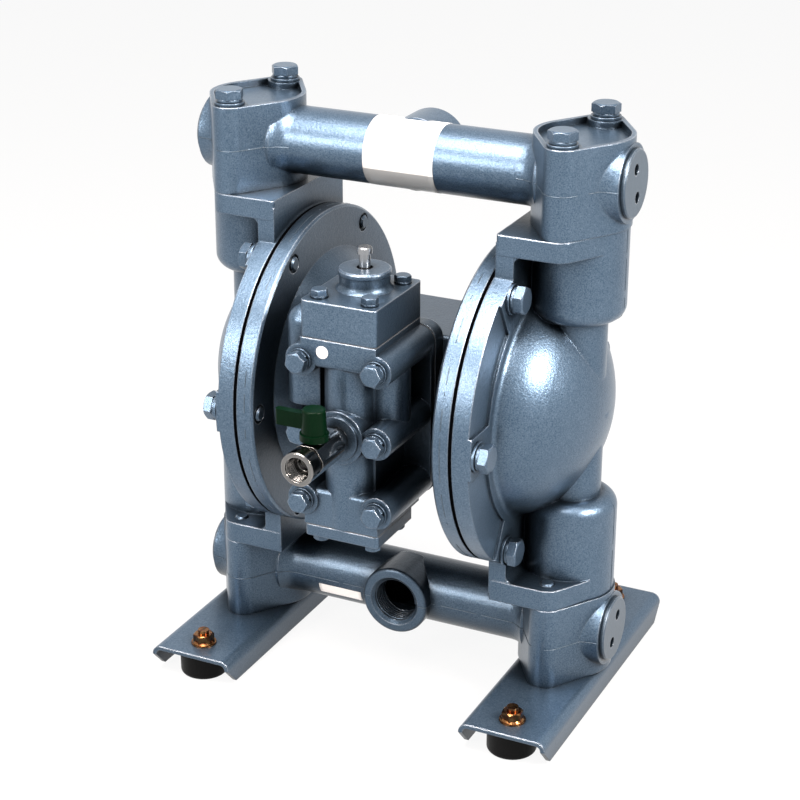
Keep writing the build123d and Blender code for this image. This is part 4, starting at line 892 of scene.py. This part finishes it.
def threadShaper(material):
    shaper = Shaper("threadRidge", ["radius", "pitch", "turns", "crest"])
    size = shaper.inputs
    path = shaper.spiral(64, size["turns"], size["radius"], size["pitch"] * size["turns"])
    ridge = shaper.swept(shaper.upright(path), shaper.circle(4, size["crest"]))
    ridge = shaper.turned(ridge, (math.radians(90), 0.0, 0.0))
    shaper.finishWith(shaper.atPoints(ridge), material, smooth=True)
    return shaper


def makeThreads():
    for name, row in threadRows.items():
        low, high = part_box(row["node"])
        length = row["pitch"] * row["turns"]
        middle = (low + high) / 2
        # the turned spiral runs from its start towards -Y
        start = length - row["mouth"] if row["side"] < 0 else row["mouth"]
        base = bpy.data.meshes.new(name + "Start")
        base.from_pydata([(middle.x, start, middle.z)], [], [])
        piece = grown(name, threadShaper(finishes[row["slot"]]), base, row)
        settle(piece, row["body"], row["slot"])
    print("threads made:", len(threadRows))


makeThreads()


# Parting lines of the castings, fine raised seams where the mould halves met

seamLook = {
    "radius": 0.00036,
    "step": 0.0012,
    "breakUp": 0.38,  # how much of a seam is dressed away
    "rimBreakUp": 0.46,
    "wander": 0.0110,
    "swell": 1.2,
    "thinnest": 0.25,
    "openReach": 0.045,  # a seam shows only where nothing stands this near in front of it
    "rimShare": 0.985,  # a rim's seam lies outside this share of its radius
    "housingDepth": 0.012,  # a valve housing's seam lies in this much of its outer side
    "housingFrom": 0.065,  # and at least this far above or below the middle
}
seamRows = {
    "dischargeSeam": {
        "node": "discharge_manifold", "axis": 2, "share": 0.5, "covered": (-0.029, 0.024),
    },
    "suctionSeam": {"node": "suction_manifold", "axis": 2, "share": 0.5},
    "outChamberSeamLeft": {
        "node": "out_chamber_left", "axis": 1, "share": 0.5, "housings": True,
    },
    "outChamberSeamRight": {
        "node": "out_chamber_right", "axis": 1, "share": 0.5, "housings": True,
    },
    "rimSeamLeft": {"node": "air_chamber_left", "axis": 0, "share": 0.22, "rim": True},
    "rimSeamRight": {"node": "air_chamber_right", "axis": 0, "share": 0.78, "rim": True},
}


def seamShows(row, low, high, middle, outward):
    # whether this bit of the cut belongs to the row's seam
    look = seamLook
    centre = (low + high) / 2
    covered = row.get("covered")
    if covered and covered[0] < middle.x < covered[1] and middle.y < 0:
        return False
    if row.get("rim") and (middle - centre).length < (high.z - low.z) / 2 * look["rimShare"]:
        return False
    if row.get("housings"):
        away = abs(middle.x) - max(abs(low.x), abs(high.x)) + look["housingDepth"]
        near = abs(middle.z - centre.z) < look["housingFrom"]
        return not (away < 0 or near or outward.x * middle.x < 0)
    return True


def seamEdges(row):
    # where a plane cuts the casting's outer skin
    low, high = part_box(row["node"])
    k = row["axis"]
    aside = 1.3e-5  # keeps the plane off the mesh's own edges
    level = low[k] + (high[k] - low[k]) * row["share"] + aside
    point, normal = Vector((0, 0, 0)), Vector((0, 0, 0))
    point[k], normal[k] = level, 1
    shape = joinedCopy(row["node"])
    skin = BVHTree.FromBMesh(shape)
    everything = shape.verts[:] + shape.edges[:] + shape.faces[:]
    cut = bmesh.ops.bisect_plane(shape, geom=everything, plane_co=point, plane_no=normal)
    verts, edges, index = [], [], {}
    for edge in cut["geom_cut"]:
        if not isinstance(edge, bmesh.types.BMEdge):
            continue
        middle = (edge.verts[0].co + edge.verts[1].co) / 2
        outward = Vector((0, 0, 0))
        for face in edge.link_faces:
            outward += face.normal
        outward[k] = 0
        if outward.length < 1e-6:
            continue
        outward.normalize()
        # the ray starts just off the skin
        if skin.ray_cast(middle + outward * 2e-4, outward, seamLook["openReach"])[0] is not None:
            continue
        if not seamShows(row, low, high, middle, outward):
            continue
        ends = []
        for vert in edge.verts:
            key = tuple(round(c, 6) for c in vert.co)
            if key not in index:
                index[key] = len(verts)
                verts.append(tuple(vert.co))
            ends.append(index[key])
        if ends[0] != ends[1]:
            edges.append(tuple(ends))
    shape.free()
    mesh = bpy.data.meshes.new("seamPath")
    mesh.from_pydata(verts, edges, [])
    return mesh


def seamShaper():
    shaper = Shaper("castingSeam", ["radius", "step", "breakUp", "wander"])
    size = shaper.inputs
    path = shaper.node("GeometryNodeMeshToCurve", None, {0: size["Geometry"]})
    path = shaper.node(
        "GeometryNodeResampleCurve", {"mode": "LENGTH"}, {0: path, "Length": size["step"]}
    )
    place = shaper.node("GeometryNodeInputPosition")
    swell = shaper.node(
        "ShaderNodeTexNoise",
        None,
        {"Vector": place, "Scale": 1 / size["wander"], "Detail": 2.0},
    )
    line = shaper.node("GeometryNodeCurveToMesh", None, {0: path})
    gone = swell.below(size["breakUp"])
    line = shaper.node("GeometryNodeDeleteGeometry", {"domain": "POINT"}, {0: line, 1: gone})
    path = shaper.node("GeometryNodeMeshToCurve", None, {0: line})
    section = shaper.circle(6, size["radius"])
    thickness = swell * seamLook["swell"] + seamLook["thinnest"]
    shaper.finishWith(shaper.swept(path, section, Scale=thickness), seamPaint, smooth=True)
    return shaper


def makeSeams():
    shaper = seamShaper()
    for name, row in seamRows.items():
        breakUp = seamLook["rimBreakUp" if row.get("rim") else "breakUp"]
        piece = grown(name, shaper, seamEdges(row), {**seamLook, "breakUp": breakUp})
        print(name, "has", len(piece.data.polygons), "faces")
        settle(piece, "housing", "cast_paint")


makeSeams()


# Labels: blank film wrapped on the tubes and a round one on the air valve

labelLook = {
    "film": (0.70, 0.70, 0.70),
    "band": (0.26, 0.27, 0.275),
    "bandFrom": 107.0,  # degrees around the tube, from its top towards the front
    "cloudSize": 0.010,
    "cloudShare": 0.5,
    "darker": 0.93,
    "thickness": 0.00018,
    "sunk": 0.0001,  # how far the film's back goes into the tube
    "roughness": 0.34,
    "roughSwing": 0.10,
    "grainSize": 0.0018,
    "grainDepth": 0.00002,
    "coat": 0.3,
    "coatRoughness": 0.15,
}
wrapRows = {
    "frontLabel": {
        "node": "discharge_manifold", "radius": 0.0232, "from": -0.028, "to": 0.023,
        "start": -34.0, "end": 160.0, "printed": True,
    },
    "portStrip": {
        "node": "suction_manifold", "radius": 0.0232, "from": -0.065, "to": -0.031,
        "start": 101.0, "end": 122.0, "printed": False,
    },
}


def labelFilm(name, tubeAxisZ, printed):
    look = labelLook
    finish = Finish(name)
    cloud = finish.noise(look["cloudSize"], 3)
    grey = tuple(c * look["darker"] for c in look["film"])
    colour = finish.mix(cloud * look["cloudShare"], look["film"], grey)
    if printed:
        # angle around the tube, 0 on top and growing towards the front
        forward = -1.0 * finish.axis("Y")
        angle = forward.math("ARCTAN2", forward, finish.axis("Z") - tubeAxisZ) * (180 / math.pi)
        colour = finish.mix(angle.above(look["bandFrom"]), colour, look["band"])
    return finish.surface(
        base_color=colour,
        roughness=cloud * look["roughSwing"] + (look["roughness"] - look["roughSwing"] / 2),
        normal=finish.bump(finish.noise(look["grainSize"], 2), look["grainDepth"]),
        coat_weight=look["coat"],
        coat_roughness=look["coatRoughness"],
    )


def wrappedFilm(name, centre, row, material):
    # a thin closed sheet around part of a tube that lies along X
    around, along = 64, 12
    shape = bmesh.new()
    skins = []
    for radius in (row["radius"] - labelLook["sunk"], row["radius"] + labelLook["thickness"]):
        grid = []
        for i in range(around + 1):
            angle = math.radians(row["start"] + (row["end"] - row["start"]) * i / around)
            y, z = centre.y - radius * math.sin(angle), centre.z + radius * math.cos(angle)
            line = []
            for j in range(along + 1):
                x = row["from"] + (row["to"] - row["from"]) * j / along
                line.append(shape.verts.new((x, y, z)))
            grid.append(line)
        skins.append(grid)
    inner, outer = skins
    for i in range(around):
        for j in range(along):
            shape.faces.new((outer[i][j], outer[i + 1][j], outer[i + 1][j + 1], outer[i][j + 1]))
            shape.faces.new((inner[i][j], inner[i][j + 1], inner[i + 1][j + 1], inner[i + 1][j]))
    for i in range(around):
        for j in (0, along):
            shape.faces.new((inner[i][j], inner[i + 1][j], outer[i + 1][j], outer[i][j]))
    for j in range(along):
        for i in (0, around):
            shape.faces.new((inner[i][j], inner[i][j + 1], outer[i][j + 1], outer[i][j]))
    mesh = closedMesh(name, shape)
    mesh.materials.append(material)
    for polygon in mesh.polygons:
        polygon.use_smooth = True
    return linked(name, mesh)


roundLabel = {
    "place": (-0.0112, 0.2690),
    "radius": 0.0043,
    "thickness": 0.00025,
    "sunk": 0.0002,
    "edgeHeight": 0.6,  # of the thickness, where the rounded edge starts
    "topRadius": 0.96,
    "behind": 0.0034,  # the face lies this far behind the inlet boss, the box's front
}


def makeRoundLabel():
    look = roundLabel
    steps = 48
    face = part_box("valve_body")[0].y + look["behind"]
    shape = bmesh.new()
    rings = []
    for radius, depth in (
        (look["radius"], -look["sunk"]),
        (look["radius"], look["thickness"] * look["edgeHeight"]),
        (look["radius"] * look["topRadius"], look["thickness"]),
    ):
        line = []
        for step in range(steps):
            angle = 2 * math.pi * step / steps
            x = look["place"][0] + radius * math.cos(angle)
            z = look["place"][1] + radius * math.sin(angle)
            line.append(shape.verts.new((x, face - depth, z)))
        rings.append(line)
    for low, high in zip(rings, rings[1:]):
        for step in range(steps):
            after = (step + 1) % steps
            shape.faces.new((low[step], low[after], high[after], high[step]))
    shape.faces.new(rings[0])
    shape.faces.new(rings[-1])
    mesh = closedMesh("roundLabel", shape)
    mesh.materials.append(labelFilm("roundLabelFilm", 0.0, False))
    return linked("roundLabel", mesh)


def makeLabels():
    for name, row in wrapRows.items():
        low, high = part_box(row["node"])
        centre = Vector((0, 0, (low.z + high.z) / 2))
        material = labelFilm(name + "Film", centre.z, row["printed"])
        settle(wrappedFilm(name, centre, row, material), "housing", "white_plastic")
    settle(makeRoundLabel(), "housing", "white_plastic")
    print("labels made:", len(wrapRows) + 1)


makeLabels()


# Stage, light and camera

stageLook = {"floorSize": 6.0, "floorColour": (0.80, 0.80, 0.80), "shadowShare": 0.08}


def backdropSeen(tree):
    # 1 for rays from the camera, from gloss and through glass
    path = tree.node("ShaderNodeLightPath", out="Is Camera Ray")
    gloss = tree.node("ShaderNodeLightPath", out="Is Glossy Ray")
    through = tree.node("ShaderNodeLightPath", out="Is Transmission Ray")
    return (path + gloss + through).clamped(0, 1)


def makeFloor():
    mesh = bpy.data.meshes.new("floor")
    reach = stageLook["floorSize"] / 2
    mesh.from_pydata(
        [(-reach, -reach, 0), (reach, -reach, 0), (reach, reach, 0), (-reach, reach, 0)],
        [],
        [(0, 1, 2, 3)],
    )
    floor = linked("floor", mesh)
    finish = Finish("floorWhite")
    matt = finish.node("ShaderNodeBsdfDiffuse", None, {"Color": (*stageLook["floorColour"], 1)})
    glow = finish.node("ShaderNodeEmission", None, {"Color": (1, 1, 1, 1), "Strength": 1.0})
    both = finish.node(
        "ShaderNodeMixShader",
        None,
        {0: backdropSeen(finish) * (1 - stageLook["shadowShare"]), 1: matt, 2: glow},
    )
    finish.node("ShaderNodeOutputMaterial", None, {"Surface": both}, out=None)
    mesh.materials.append(finish.material)


worldLook = {"ambient": (0.80, 0.88, 1.0), "strength": 0.12}


def makeWorld():
    world = bpy.data.worlds.new("studio")
    bpy.context.scene.world = world
    world.use_nodes = True
    world.node_tree.nodes.clear()
    tree = Tree(world.node_tree)
    backdrop = tree.node("ShaderNodeBackground", None, {"Color": (1, 1, 1, 1), "Strength": 1.0})
    ambient = tree.node(
        "ShaderNodeBackground",
        None,
        {"Color": (*worldLook["ambient"], 1), "Strength": worldLook["strength"]},
    )
    seen = backdropSeen(tree)
    mixed = tree.node("ShaderNodeMixShader", None, {0: seen, 1: ambient, 2: backdrop})
    tree.node("ShaderNodeOutputWorld", None, {"Surface": mixed}, out=None)


lampAim = (0, 0, 0.2)
lampSetup = {
    "keyLamp": {
        "place": (-0.62, -1.30, 0.85), "size": 0.45, "watts": 17, "tint": (1.0, 0.91, 0.84),
    },
    "topLamp": {
        "place": (-0.10, -0.50, 1.50), "size": 0.9, "watts": 58, "tint": (1.0, 0.91, 0.85),
    },
    "rightLamp": {
        "place": (1.08, -0.28, 0.92), "size": 0.38, "watts": 34, "tint": (1.0, 0.91, 0.84),
    },
}


def makeLamps():
    aim = Vector(lampAim)
    for name, lamp in lampSetup.items():
        light = bpy.data.lights.new(name, "AREA")
        light.shape = "SQUARE"
        light.size = lamp["size"]
        light.energy = lamp["watts"]
        light.color = lamp["tint"]
        holder = linked(name, light)
        holder.location = lamp["place"]
        holder.rotation_euler = (aim - holder.location).to_track_quat("-Z", "Y").to_euler()


cameraSetup = {
    "azimuth": 25.64,
    "elevation": 22.59,
    "roll": 0.17,
    "distance": 1.4094,
    "target": (-0.01079, 0.0, 0.1934),
    "lens": 90.45,
    "sensor": 36,
    "farthest": 20,
}


def makeCamera():
    turn = math.radians(cameraSetup["azimuth"])
    rise = math.radians(cameraSetup["elevation"])
    roll = math.radians(cameraSetup["roll"])
    back = Vector(
        (math.sin(turn) * math.cos(rise), -math.cos(turn) * math.cos(rise), math.sin(rise))
    )
    level = Vector((math.cos(turn), math.sin(turn), 0))
    upright = back.cross(level)
    right = level * math.cos(roll) + upright * math.sin(roll)
    up = back.cross(right)
    lens = bpy.data.cameras.new("camera")
    lens.lens = cameraSetup["lens"]
    lens.sensor_width = cameraSetup["sensor"]
    lens.clip_end = cameraSetup["farthest"]
    camera = linked("camera", lens)
    place = Vector(cameraSetup["target"]) + back * cameraSetup["distance"]
    camera.matrix_world = Matrix.Translation(place) @ Matrix(
        (right, up, back)
    ).transposed().to_4x4()
    bpy.context.scene.camera = camera


makeFloor()
makeWorld()
makeLamps()
makeCamera()
bpy.context.scene.view_settings.view_transform = "Standard"
print("stage, lamps and camera set")
